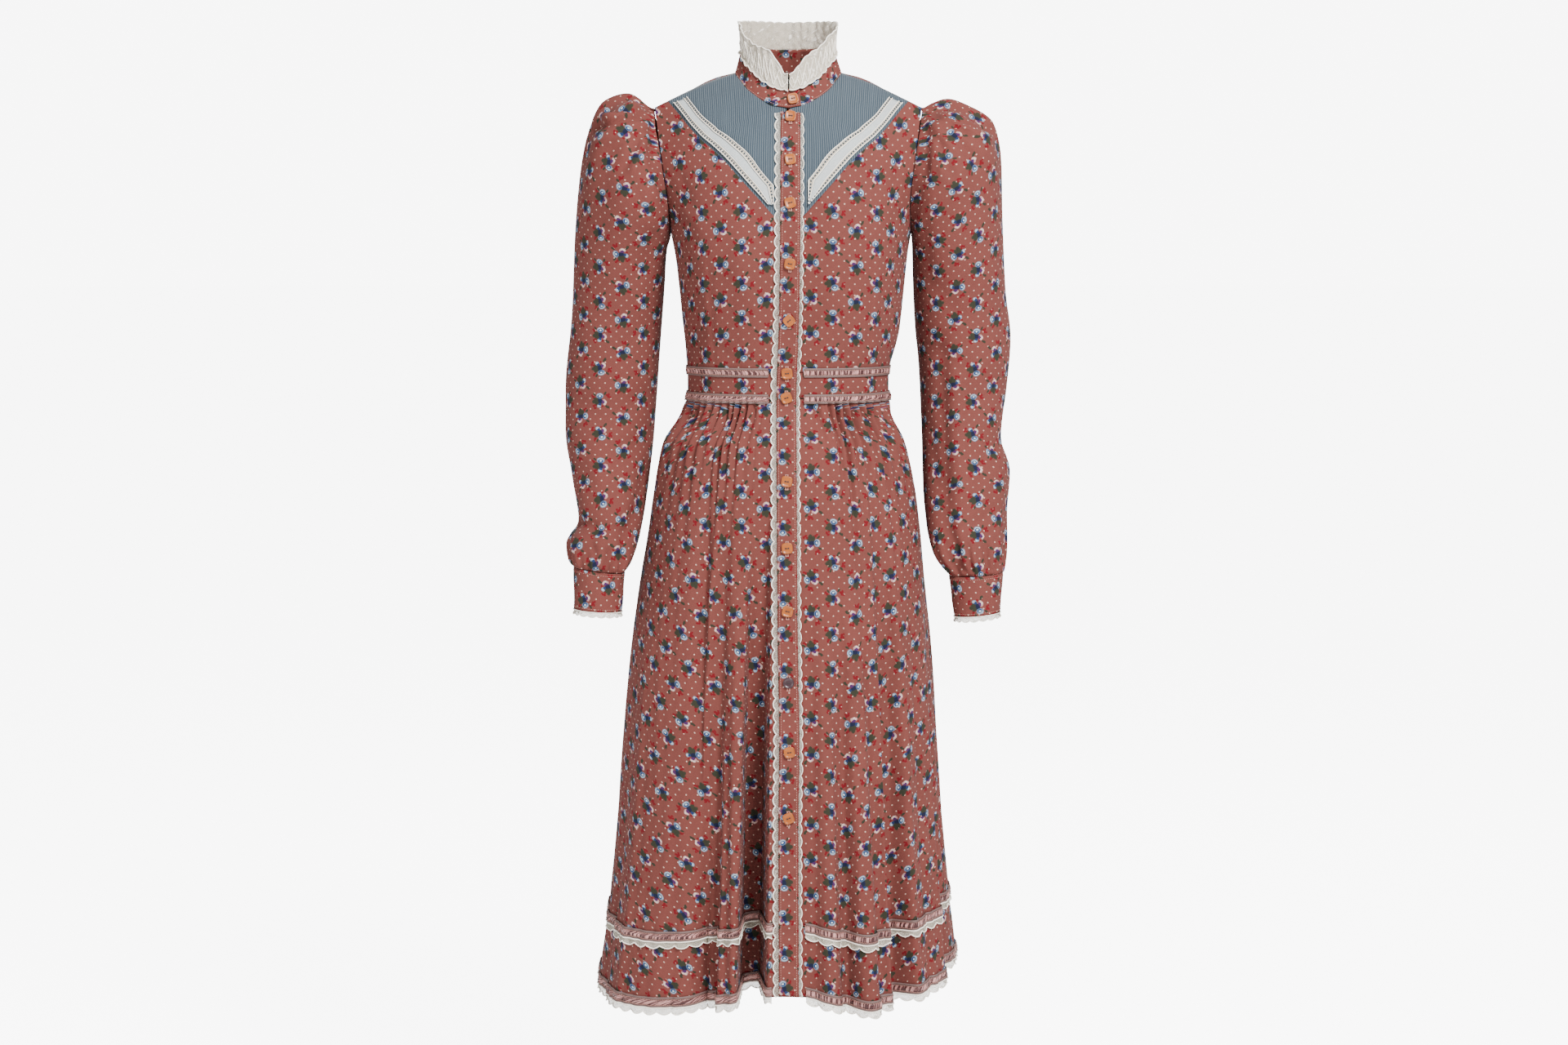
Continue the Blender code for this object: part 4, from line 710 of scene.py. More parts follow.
def chambray_finish():
    """Yarn-dyed cotton chambray: slate blue, with fine pale woven stripes."""
    material, tree, shader, cloth_map = new_finish("striped_cotton_chambray", 0.85,
                                                   Sheen_Weight=0.12, Sheen_Roughness=0.5)
    shader.inputs["Specular IOR Level"].default_value = 0.25
    uneven = add(tree, "ShaderNodeMapping", {"Vector": cloth_map, "Scale": (300.0, 24.0, 1.0)})
    uneven = add(tree, "ShaderNodeTexNoise", {"Vector": uneven.outputs[0], "Scale": 1.0, "Detail": 3.0})
    cloth = over(tree, uneven.outputs[0], colour("24303A"), colour("3B4751"))
    across = add(tree, "ShaderNodeSeparateXYZ", {0: cloth_map}).outputs[0]
    wave = sums(tree, "SINE", sums(tree, "MULTIPLY", across, 2 * math.pi / 0.0026))
    stripe = add(tree, "ShaderNodeMapRange", {
        "Value": wave, "From Min": 0.35, "From Max": 0.9, "To Max": 0.62}).outputs[0]
    cloth = over(tree, stripe, cloth, colour("6C757A"))
    tree.links.new(cloth, shader.inputs["Base Color"])
    woven(tree, shader, cloth_map, 0.25, ground=sums(tree, "MULTIPLY", stripe, 1.6))
    return material


def lace_finish(name, see_through, code="EDE6D8", motif=190.0):
    """Cream cotton lace: a net ground with raised, denser sprigs worked over it."""
    material, tree, shader, cloth_map = new_finish(name, 0.9, Sheen_Weight=0.1)
    shader.inputs["Specular IOR Level"].default_value = 0.2
    sprig = add(tree, "ShaderNodeTexVoronoi", {"Vector": cloth_map, "Scale": motif},
                feature="SMOOTH_F1").outputs["Distance"]
    petal = add(tree, "ShaderNodeMapRange", {
        "Value": sprig, "From Min": 0.24, "From Max": 0.14}).outputs[0]
    net = add(tree, "ShaderNodeTexVoronoi", {"Vector": cloth_map, "Scale": 900.0},
              feature="DISTANCE_TO_EDGE").outputs["Distance"]
    thread = add(tree, "ShaderNodeMapRange", {
        "Value": net, "From Min": 0.055, "From Max": 0.02}).outputs[0]
    solid = sums(tree, "MAXIMUM", petal, thread)
    tree.links.new(over(tree, solid, colour("BDB29F"), colour(code)), shader.inputs["Base Color"])
    if see_through < 1.0:
        shown = sums(tree, "MULTIPLY_ADD", solid, 1.0 - see_through, see_through)
        tree.links.new(shown, shader.inputs["Alpha"])
    height = sums(tree, "MULTIPLY_ADD", petal, 2.0, thread)
    bump = add(tree, "ShaderNodeBump", {"Height": height, "Strength": 0.7, "Distance": 0.0006})
    tree.links.new(bump.outputs[0], shader.inputs["Normal"])
    return material


def ribbon_finish():
    """Rose satin ribbon: a smooth weft face with a real gloss, and painted highlights and painted shade in
    streaks along its gathers.
    """
    material, tree, shader, cloth_map = new_finish("gathered_satin_ribbon", 0.42,
                                                   Sheen_Weight=0.05, Anisotropic=0.4)
    shader.inputs["Specular IOR Level"].default_value = 0.45
    # Painted light: a stretched noise gives streaks of painted shade and painted highlight across the ribbon,
    # for the shine and shadow of its gathers
    painted_highlight_and_shade = add(tree, "ShaderNodeMapping", {"Vector": cloth_map, "Scale": (340.0, 26.0, 1.0)})
    painted_highlight_and_shade = add(tree, "ShaderNodeTexNoise", {"Vector": painted_highlight_and_shade.outputs[0], "Scale": 1.0, "Detail": 3.0})
    painted_highlight_and_shade = add(tree, "ShaderNodeMapRange", {
        "Value": painted_highlight_and_shade.outputs[0], "From Min": 0.47, "From Max": 0.57})
    # The dark tone is painted shade and the pale tone is painted highlight
    satin = over(tree, painted_highlight_and_shade.outputs[0], colour("3C1818"), colour("C08A84"))
    tree.links.new(satin, shader.inputs["Base Color"])
    return material


def plain_finish(name, code, second, roughness, scale, bump_height, **sockets):
    """A finish of two close tones in a grain, for thread, braid and wood. scale is per metre."""
    material, tree, shader, _ = new_finish(name, roughness, **sockets)
    place = add(tree, "ShaderNodeTexCoord").outputs["Object"]
    grain = add(tree, "ShaderNodeMapping", {"Vector": place, "Scale": scale})
    grain = add(tree, "ShaderNodeTexNoise", {"Vector": grain.outputs[0], "Scale": 1.0, "Detail": 3.0})
    tree.links.new(over(tree, grain.outputs[0], colour(code), colour(second)),
                   shader.inputs["Base Color"])
    bump = add(tree, "ShaderNodeBump", {
        "Height": grain.outputs[0], "Strength": 0.3, "Distance": bump_height})
    tree.links.new(bump.outputs[0], shader.inputs["Normal"])
    return material


CALICO = calico_finish()
CHAMBRAY = chambray_finish()
# Lace: a fine net with raised sprigs. The ruff is opaque and its sprigs are large; the placket's is
# clear between its threads; the edgings' net lets half of what is under it through.
LACE_RUFF = lace_finish("embossed_cotton_lace", 1.0, "FFF7EC", 150.0)
LACE_SHEER = lace_finish("sheer_cotton_lace", 0.04, motif=420.0)
LACE_EDGING = lace_finish("cotton_lace_edging", 0.5, motif=330.0)
# Thick twisted cotton, and a strip of thin organdie with shaded eyelets: matt
LACE_CORD = plain_finish("cotton_lace_cord", "FFF9EE", "F0E7D8", 0.85, (900, 900, 900), 0.0003)
LACE_STRIP = plain_finish("sheer_organdie_strip", "8D969B", "C4C6C2", 0.7, (700, 40, 700), 0.0002)
EYELET = plain_finish("eyelet_shadow", "313A43", "3F4A53", 0.9, (900, 900, 900), 0.0001)
SATIN = ribbon_finish()
# The ribbon's flat edges, through which the cloth below shows grey-brown
BRAID = plain_finish("sheer_grey_braid", "523A37", "715A55", 0.7, (900, 900, 900), 0.0002)
# Turned boxwood and a plum-stained one: a close grain under a thin polish
BOXWOOD = plain_finish("polished_boxwood", "7E3703", "AD5E12", 0.38, (60, 500, 60), 0.0001,
                       Coat_Weight=0.1, Coat_Roughness=0.2)
STAINED = plain_finish("plum_stained_wood", "231016", "391D25", 0.35, (60, 500, 60), 0.0001,
                       Coat_Weight=0.3, Coat_Roughness=0.2)
# Spun sewing threads: matt, with a slight twist
SEWING = plain_finish("rose_sewing_thread", "A66E63", "B9867A", 0.8, (900, 900, 900), 0.0001)
DARK_THREAD = plain_finish("dark_button_thread", "1E1616", "3A2A2A", 0.8, (900, 900, 900), 0.0001)


# ---- cloth ----

def reached(points, axis):
    """Distance travelled over the cloth along an axis of a grid."""
    steps = np.linalg.norm(np.diff(points, axis=axis), axis=-1)
    return np.concatenate((np.zeros_like(steps.take([0], axis)), np.cumsum(steps, axis)), axis)


def flat_map(points, column=0, start=(0.0, 0.0)):
    """Each point's place on the flat cloth in metres, measured from one column and the top row."""
    across, down = reached(points, 1), reached(points, 0)
    across = across - across[:, column][:, None]
    return np.stack((start[0] + across, start[1] - down), axis=-1)


def placed(name, data):
    """A new object in the scene for a mesh, a lamp or a camera."""
    piece = bpy.data.objects.new(name, data)
    bpy.context.scene.collection.objects.link(piece)
    return piece


def shell(name, points, cloth_map, material, wall=CLOTH, ring=False, faces_out=True):
    """A thin sheet over a grid of points: rows run down, and columns to the viewer's right."""
    rows, columns = points.shape[:2]
    used = columns - 1 if ring else columns
    number = np.arange(rows * used).reshape(rows, used)
    if ring:
        number = np.concatenate((number, number[:, :1]), axis=1)
    corners = [(r, c) for r in (0, 1) for c in (0, 1)]
    blocks = {(r, c): number[r:rows - 1 + r, c:columns - 1 + c] for r, c in corners}
    order = ((0, 0), (1, 0), (1, 1), (0, 1)) if faces_out else ((0, 0), (0, 1), (1, 1), (1, 0))
    faces = np.stack([blocks[corner] for corner in order], axis=-1).reshape(-1, 4)
    mesh = bpy.data.meshes.new(name)
    mesh.from_pydata(points[:, :used].reshape(-1, 3).tolist(), [], faces.tolist())
    layer = mesh.uv_layers.new(name="cloth")
    maps = [cloth_map[r:rows - 1 + r, c:columns - 1 + c] for r, c in order]
    layer.data.foreach_set("uv", np.stack(maps, axis=-2).reshape(-1).astype(np.float32))
    mesh.materials.append(material)
    mesh.shade_smooth()
    piece = placed(name, mesh)
    if wall:
        thick = piece.modifiers.new("wall", "SOLIDIFY")
        thick.thickness = wall
        thick.offset = -1.0
    return piece


def unrolled(points, middle):
    """Lay a curved sheet out flat with the least stretch, its middle column upright.

    A coarse copy of the grid is laid out, and the places between its points are filled in.
    """
    rows, columns = points.shape[:2]
    some_rows = np.unique(np.linspace(0, rows - 1, 30).round().astype(int))
    some_columns = np.unique(np.append(np.linspace(0, columns - 1, 41).round().astype(int), middle))
    coarse = points[some_rows][:, some_columns]
    piece = shell("unrolled", coarse, flat_map(coarse), CALICO, wall=None)
    bpy.context.view_layer.objects.active = piece
    bpy.ops.object.select_all(action="DESELECT")
    piece.select_set(True)
    bpy.ops.object.mode_set(mode="EDIT")
    bpy.ops.mesh.select_all(action="SELECT")
    bpy.ops.uv.unwrap(method="MINIMUM_STRETCH", margin=0.0, iterations=40)
    bpy.ops.object.mode_set(mode="OBJECT")
    mesh = piece.data
    number = np.zeros(len(mesh.loops), np.int32)
    mesh.loops.foreach_get("vertex_index", number)
    found = np.zeros(len(mesh.loops) * 2, np.float32)
    mesh.uv_layers["cloth"].data.foreach_get("uv", found)
    flat = np.zeros((len(mesh.vertices), 2))
    flat[number] = found.reshape(-1, 2)
    area = sum(face.area for face in mesh.polygons)
    bpy.data.objects.remove(piece)
    bpy.data.meshes.remove(mesh)
    flat = flat.reshape(len(some_rows), len(some_columns), 2)
    one, other = flat[1:, 1:] - flat[:-1, :-1], flat[1:, :-1] - flat[:-1, 1:]
    flat_area = np.abs(one[..., 0] * other[..., 1] - one[..., 1] * other[..., 0]).sum() / 2
    column = int(np.flatnonzero(some_columns == middle)[0])
    low = flat[-1, column].copy()
    up = (flat[0, column] - low) / np.linalg.norm(flat[0, column] - low)
    turned = np.array(((up[1], up[0]), (-up[0], up[1])))
    flat = (flat - low) @ turned * math.sqrt(area / flat_area)
    across = np.stack([np.stack([np.interp(np.arange(columns), some_columns, row[:, k])
                                 for k in (0, 1)], axis=-1) for row in flat])
    at = np.interp(np.arange(rows), some_rows, np.arange(len(some_rows)))
    row = np.minimum(at.astype(int), len(some_rows) - 2)
    part = (at - row)[:, None, None]
    return across[row] * (1 - part) + across[row + 1] * part


def normals_of(points, ring=False):
    """Outward normals of a grid whose rows run down and whose columns run to the right."""
    if ring:
        wide = np.concatenate((points[:, -2:-1], points, points[:, 1:2]), axis=1)
        across = np.gradient(wide, axis=1)[:, 1:-1]
    else:
        across = np.gradient(points, axis=1)
    return unit(np.cross(np.gradient(points, axis=0), across) + np.array([0.0, 0.0, NUDGE]))


def creased(points, table, facing=-1, ring=False):
    """Press soft troughs and ridges into cloth, seen square on from the front or the back.

    A row: x and z of one end, x and z of the other, half width, depth. All in millimetres; a
    positive depth goes in.
    """
    normal = normals_of(points, ring)
    faces = np.clip((normal[..., 1] * facing + 0.5 * np.abs(normal[..., 2])) * 2.5, 0, 1)
    push = np.zeros(points.shape[:2])
    for x0, z0, x1, z1, half, depth in table:
        run = np.array([x1 - x0, z1 - z0]) * MM
        length = np.hypot(*run)
        run = run / length
        dx, dz = points[..., 0] - x0 * MM, points[..., 2] - z0 * MM
        along = (dx * run[0] + dz * run[1]) / length
        aside = (dz * run[0] - dx * run[1]) / (half * MM)
        ends = ease(-0.15, 0.25, along) * ease(1.15, 0.75, along)
        push += depth * MM * np.exp(-aside * aside) * ends
    return points - normal * (push * faces)[..., None]


def wear(piece, nodes):
    """Hand a finished piece to the frame, in the place of the named solids."""
    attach(piece, "root")
    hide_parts(*nodes)
    return piece


def trim(piece, slot, *nodes):
    """Hand a trim to the frame, in the place of any named solids."""
    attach(piece, "root")
    if nodes:
        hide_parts(*nodes)
    return piece


# ---- repeats made by rule ----

def rule(name, inputs, build):
    """A small tree of geometry nodes with named inputs, which ends in real mesh of one material."""
    tree = bpy.data.node_groups.new(name, "GeometryNodeTree")
    tree.interface.new_socket("Geometry", in_out="INPUT", socket_type="NodeSocketGeometry")
    for label in inputs:
        tree.interface.new_socket(label, in_out="INPUT", socket_type="NodeSocketFloat")
    tree.interface.new_socket("Material", in_out="INPUT", socket_type="NodeSocketMaterial")
    tree.interface.new_socket("Geometry", in_out="OUTPUT", socket_type="NodeSocketGeometry")
    given = add(tree, "NodeGroupInput")
    made = build(tree, given)
    made = add(tree, "GeometryNodeRealizeInstances", {0: made}).outputs[0]
    made = add(tree, "GeometryNodeSetMaterial", {0: made, "Material": given.outputs["Material"]})
    add(tree, "NodeGroupOutput", {0: made.outputs[0]})
    return tree


def build_cord(tree, given):
    """A round cord along each edge of the path."""
    curve = add(tree, "GeometryNodeMeshToCurve", {0: given.outputs["Geometry"]}).outputs[0]
    round_cut = add(tree, "GeometryNodeCurvePrimitiveCircle", {
        "Resolution": 4, "Radius": given.outputs["Radius"]}).outputs[0]
    return add(tree, "GeometryNodeCurveToMesh", {
        0: curve, "Profile Curve": round_cut, "Fill Caps": True}).outputs[0]


def build_stitches(tree, given):
    """Short round stitches laid end to end along the path, at an even pitch."""
    curve = add(tree, "GeometryNodeMeshToCurve", {0: given.outputs["Geometry"]}).outputs[0]
    spaced = add(tree, "GeometryNodeCurveToPoints", {
        0: curve, "Length": given.outputs["Pitch"]}, mode="LENGTH")
    stitch = add(tree, "GeometryNodeMeshCylinder", {
        "Vertices": 5, "Radius": given.outputs["Radius"], "Depth": given.outputs["Length"]})
    laid = add(tree, "GeometryNodeInstanceOnPoints", {
        "Points": spaced.outputs[0], "Instance": stitch.outputs[0],
        "Rotation": add(tree, "FunctionNodeAlignRotationToVector", {
            "Vector": spaced.outputs["Tangent"]}, axis="Z").outputs[0]})
    return laid.outputs[0]


CORD_RULE = rule("cord_along_an_edge", ("Radius",), build_cord)
STITCH_RULE = rule("running_stitches", ("Radius", "Length", "Pitch"), build_stitches)


def along(name, tree, lines, material, **sizes):
    """Run a rule along lines of points, and return its result as a plain mesh piece."""
    points, edges = [], []
    for line in lines:
        first = len(points)
        points += [tuple(point) for point in line]
        edges += [(i, i + 1) for i in range(first, len(points) - 1)]
    mesh = bpy.data.meshes.new(name)
    mesh.from_pydata(points, edges, [])
    path = placed(name + "_path", mesh)
    modifier = path.modifiers.new("rule", "NODES")
    modifier.node_group = tree
    for item in tree.interface.items_tree:
        if item.in_out == "INPUT" and item.name in sizes:
            modifier[item.identifier] = sizes[item.name]
        elif item.in_out == "INPUT" and item.name == "Material":
            modifier[item.identifier] = material
    made = bpy.data.meshes.new_from_object(path.evaluated_get(bpy.context.evaluated_depsgraph_get()))
    bpy.data.objects.remove(path, do_unlink=True)
    made.name = name
    made.shade_smooth()
    return placed(name, made)


def lay_cord(name, lines, radius, slot="lace", thread=LACE_CORD):
    """A trim of round cord along lines of points."""
    trim(along(name, CORD_RULE, lines, thread, Radius=radius), slot)


def sew(name, lines, slot, radius, length, pitch, thread=SEWING):
    """A trim of running stitches along lines of points."""
    trim(along(name, STITCH_RULE, lines, thread, Radius=radius, Length=length, Pitch=pitch), slot)


# ---- bodice ----

# Troughs and ridges on the front of the bodice: the two darts, and soft drags from the armholes
FRONT_CREASES = (
    (-94, -225, -89, -350, 2.4, 1.2), (-99, -225, -94, -350, 3.5, -0.8),
    (101, -160, 95, -350, 2.4, 1.2), (107, -200, 101, -350, 3.5, -0.8),
    (116, -210, 112, -350, 2.2, 0.9),
    (-140, -170, -100, -215, 7, 1.5), (-143, -150, -95, -190, 6, -1.0),
    (140, -160, 104, -205, 7, 1.4), (-60, -215, -30, -330, 9, -0.8), (55, -220, 30, -335, 9, -0.8),
    (-120, -300, -60, -345, 6, 0.9), (118, -300, 62, -345, 6, 0.9), (-20, -250, -60, -300, 8, 0.6),
    (24, -262, 74, -305, 8, 0.6), (-130, -120, -112, -165, 6, 1.2), (134, -110, 118, -160, 6, 1.2),
)
# The same on the yoke, and on the back
YOKE_CREASES = (
    (62, -14, 78, -52, 3.0, 1.1), (70, -12, 92, -46, 3.0, -0.9), (52, -24, 60, -66, 3.0, 0.9),
    (44, -32, 48, -80, 4.0, -0.8), (-60, -22, -74, -60, 5.0, 0.8), (-44, -36, -48, -92, 5.0, -0.6),
)
BACK_CREASES = (
    (-88, -200, -84, -350, 2.6, 1.2), (88, -200, 84, -350, 2.6, 1.2),
    (-135, -160, -70, -200, 9, 1.4), (135, -160, 70, -200, 9, 1.4), (-100, -290, 0, -335, 9, 1.2),
    (100, -290, 10, -340, 9, 1.2), (-70, -60, -96, -130, 10, 1.0), (70, -60, 96, -130, 10, 1.0),
    (0, -90, 0, -250, 14, -1.0),
)


def in_order(grid, side):
    """Put a half's columns in order from the viewer's left to the right."""
    return grid[:, ::-1] if side < 0 else grid


def finer(levels, count):
    """Split each step between levels into equal parts."""
    levels = np.asarray(levels, float)
    return np.interp(np.arange((len(levels) - 1) * count + 1) / count, np.arange(len(levels)), levels)


FRONT_COLUMNS, YOKE_COLUMNS, HALF_BACK_COLUMNS = 50, 36, 56
BODICE_LEVELS = finer(ARM_LEVELS, 4)[:-1].tolist() + np.linspace(0.52, 0.0, 46).tolist()


def make_bodice():
    """Two fronts and two yoke halves, each on its own side of the V seam, and the back."""
    levels = np.array(BODICE_LEVELS)
    for side, label in ((-1, "left"), (1, "right")):
        start = np.where(levels >= V_SEAM[0][0], lookup(V_SEAM, levels), CENTRE_EDGE)
        across = start[:, None] + (1 - start[:, None]) * np.linspace(0, 1, FRONT_COLUMNS)
        points = in_order(bodice(FRONT_ROWS, side, across, levels[:, None]), side)
        cloth_map = bodice_map(points, side)
        points = creased(points, FRONT_CREASES)
        front = shell("bodice_front_" + label, points, cloth_map, CALICO)
        wear(front, ["front_" + label])
        high = np.array([level for level in BODICE_LEVELS if level >= V_SEAM[0][0] - 1e-6])
        end = lookup(V_SEAM, high)
        start = np.where(high > NECK_SHARE, 0.0, CENTRE_EDGE)
        across = start[:, None] + (end - start)[:, None] * np.linspace(0, 1, YOKE_COLUMNS)
        points = in_order(bodice(FRONT_ROWS, side, across, high[:, None]), side)
        cloth_map = bodice_map(points, side)
        points = creased(points, YOKE_CREASES)
        yoke = shell("chambray_yoke_" + label, points, cloth_map, CHAMBRAY)
        wear(yoke, ["yoke_" + label])
    across = np.linspace(0, 1, HALF_BACK_COLUMNS)
    halves = [bodice(BACK_ROWS, side, across, levels[:, None]) for side in (1, -1)]
    points = np.concatenate((halves[0][:, ::-1], halves[1][:, 1:]), axis=1)
    cloth_map = unrolled(points, HALF_BACK_COLUMNS - 1)
    points = creased(points, BACK_CREASES, facing=1)
    back = shell("bodice_back", points, cloth_map, CALICO)
    wear(back, ["back_bodice"])


def bodice_map(points, side):
    """The front's flat map: its grain runs down the centre front, and its rows nearly level."""
    cloth_map = flat_map(points, -1 if side < 0 else 0)
    edge = points[:, -1 if side < 0 else 0, 0]
    cloth_map[..., 0] += edge[:, None]
    cloth_map[..., 1] = points[..., 2] * 0.9 + cloth_map[..., 1] * 0.1
    return cloth_map


def above_v_seam(side, levels, width):
    """Shares across the yoke at a set distance from the V seam, measured on the cloth."""
    across = lookup(V_SEAM, levels)
    seam = bodice(FRONT_ROWS, side, across, levels)
    run = unit(np.gradient(seam, axis=0))
    inwards = bodice(FRONT_ROWS, side, across - NORMAL_STEP, levels) - seam
    square = inwards - run * (inwards * run).sum(-1, keepdims=True)
    across = across - NORMAL_STEP * width / np.linalg.norm(square, axis=-1)
    return np.maximum(across, BAND_CENTRE_EDGE[side])


BAND_RISE, EDGE_RISE, CORD_RISE = 0.0016, 0.0004, 0.0026    # how the lace band stands off the yoke


def make_yoke_lace():
    """Lace insertion along the V: two worked edges with eyelets, and a sheer strip between them."""
    levels = np.linspace(BAND_TOP, BAND_BOTTOM, 90)
    for side, label in ((-1, "left"), (1, "right")):
        upper = above_v_seam(side, levels, YOKE_EDGE + YOKE_LACE)
        lower = above_v_seam(side, levels, YOKE_EDGE)
        share = np.linspace(0, 1, 13)
        across = upper[:, None] * (1 - share) + lower[:, None] * share
        points = bodice(FRONT_ROWS, side, across, levels[:, None])
        normal = bodice_outward(FRONT_ROWS, side, across, levels[:, None])
        points = creased(points, YOKE_CREASES)
        raised = points + normal * BAND_RISE
        cloth_map = flat_map(points)
        grid, flat = (in_order(whole[:, 3:-3], side) for whole in (raised, cloth_map))
        sheer = shell("yoke_lace_sheer_" + label, grid, flat, LACE_STRIP, TRIM)
        trim(sheer, "lace", "yoke_lace_" + label)
        for number, part in enumerate((slice(0, 4), slice(-4, None))):
            grid, flat = in_order(raised[:, part], side), in_order(cloth_map[:, part], side)
            grid = grid + in_order(normal[:, part], side) * EDGE_RISE
            edge = shell("yoke_lace_edge_%s_%d" % (label, number + 1), grid, flat, LACE_RUFF, TRIM)
            trim(edge, "lace")
        top = points + normal * CORD_RISE
        lay_cord("yoke_lace_cords_" + label, [top[:, column] for column in (0, 3, 9, 12)], 0.00055)
        lines = [(top[:, a] + top[:, b]) / 2 for a, b in ((1, 2), (10, 11))]
        sew("yoke_lace_eyelets_" + label, lines, "lace", 0.0010, 0.0018, 0.0040, EYELET)


# ---- waist ----

def waist_row(rows, side, start, count):
    """The waist along one half of the bodice, with its level normals."""
    shares = np.linspace(start, 1, count)
    normal = bodice_outward(rows, side, shares, 0.0)
    normal[:, 2] = 0.0
    return bodice(rows, side, shares, 0.0), unit(normal)


def level_band(line, heights):
    """A line of points repeated at each of some heights."""
    points = np.repeat(line[None], len(heights), axis=0)
    points[:, :, 2] = np.asarray(heights)[:, None]
    return points


def make_waistband():
    """The band between the waist seams, in three pieces."""
    heights = np.linspace(WAIST_TOP - SEAM / 2, WAIST_LOW + SEAM / 2, 6)
    for side, label in ((-1, "left"), (1, "right")):
        line, _ = waist_row(FRONT_ROWS, side, CENTRE_EDGE, 60)
        points = in_order(level_band(line, heights), side)
        band = shell("waistband_front_cloth_" + label, points, bodice_map(points, side), CALICO)
        wear(band, ["waistband_front_" + label])
    right, _ = waist_row(BACK_ROWS, 1, 0.0, 60)
    left, _ = waist_row(BACK_ROWS, -1, 0.0, 60)
    line = np.concatenate((right[::-1], left[1:]))
    points = level_band(line, heights)
    band = shell("waistband_back_cloth", points, flat_map(points, 59, (0.0, WAIST_TOP)), CALICO)
    wear(band, ["waistband_back"])


def waist_loop():
    """The waist from the right of the placket round to its left."""
    lines = []
    for rows, side, start in ((FRONT_ROWS, 1, RIBBON_START_RIGHT), (BACK_ROWS, 1, 0.0),
                              (BACK_ROWS, -1, 0.0), (FRONT_ROWS, -1, RIBBON_START_LEFT)):
        line, normal = waist_row(rows, side, start, 200)
        if (rows is FRONT_ROWS) != (side > 0):
            line, normal = line[::-1], normal[::-1]
        lines.append((line[1:], normal[1:]) if lines else (line, normal))
    return tuple(np.concatenate(parts) for parts in zip(*lines))


def spread_evenly(line, values, count):
    """What goes with a line of points, at equal steps along it."""
    length = reached(line[None], 1)[0]
    return respaced(values, length, np.linspace(0, length[-1], count))


def evenly(line, normal, step):
    """Respace a line of points and their normals along its length."""
    count = max(2, int(reached(line[None], 1)[0, -1] / step))
    return spread_evenly(line, line, count), unit(spread_evenly(line, normal, count))


def pleats(at, seed):
    """Uneven pleats of a gathered ribbon, 0 in the troughs and 1 on the crests."""
    shift = 0.9 * np.sin(at * 260 + seed) + 0.7 * np.sin(at * 97 + 2 * seed) + 0.5 * np.sin(at * 613)
    size = 0.55 + 0.45 * np.sin(at * 171 + seed) * np.sin(at * 59 + 3 * seed)
    return (0.5 + 0.5 * np.sin(at * 2 * math.pi / 0.0052 + 1.6 * shift)) * size


def make_ribbon(name, node, rows, normals, seed, lift=0.0012):
    """Gathered satin between two flat sheer edges. rows holds its lines from top to bottom."""
    at = reached(rows[:1], 1)[0]
    share = np.linspace(0, 1, 9)[:, None]
    place = share * (len(rows) - 1)
    low = np.minimum(place.astype(int), len(rows) - 2)[:, 0]
    part = (place - low[:, None])[..., None]
    points = rows[low] * (1 - part) + rows[low + 1] * part
    normal = unit(normals[low] * (1 - part) + normals[low + 1] * part)
    puff = np.sin(math.pi * np.clip((share - 0.22) / 0.56, 0, 1)) ** 0.6
    lean = pleats(at[None] + 0.0006 * np.sin(share * 5 + seed), seed)
    raised = points + normal * (lift + 0.0022 * puff * lean)[..., None]
    cloth_map = flat_map(points)
    trim(shell(name + "_satin", raised[2:-2], cloth_map[2:-2], SATIN, TRIM), "ribbon", node)
    for label, rows_kept in (("upper", slice(0, 3)), ("lower", slice(-3, None))):
        flat = points[rows_kept] + normal[rows_kept] * (lift + 0.0004)
        edge = shell(name + "_edge_" + label, flat, cloth_map[rows_kept], BRAID, TRIM)
        trim(edge, "ribbon")
    lines = [points[2] + normal[2] * (lift + 0.0009), points[-3] + normal[-3] * (lift + 0.0009)]
    sew(name + "_stitches", lines, "ribbon", 0.00028, 0.0017, 0.0026)


def make_waist_ribbons():
    """A gathered ribbon over each waist seam, which follows the cloth above it or below it."""
    line, normal = evenly(*waist_loop(), 0.0010)
    half = RIBBON / 2
    degrees = np.degrees(np.arctan2(line[:, 0], -line[:, 1]))
    first_row = FRONT_ROWS[1]
    up = first_row[0] * half / (first_row[1][2] * MM - WAIST_TOP)
    for label, height, seed in (("upper", WAIST_TOP, 0.4), ("lower", WAIST_LOW, 2.1)):
        rows = level_band(line, (height + half, height, height - half))
        if label == "upper":
            rows[0, :, :2] *= bodice_radius(degrees, up)[:, None]
        else:
            below = skirt_cloth(degrees, WAIST_LOW - half)
            rows[2, :, :2] = below[:, :2] + normal[:, :2] * 0.0012
            rows[1] += normal * 0.0006
        make_ribbon("waist_ribbon_" + label + "_cloth", "waist_ribbon_" + label, rows,
                    np.stack([normal] * 3), seed)


def bodice_radius(degrees, up):
    """How much wider the bodice is at a share of its height than at the waist."""
    above, waist = (np.interp(degrees, *bodice_ring(level)) for level in (up, 0.0))
    return above / waist


# ---- skirt ----

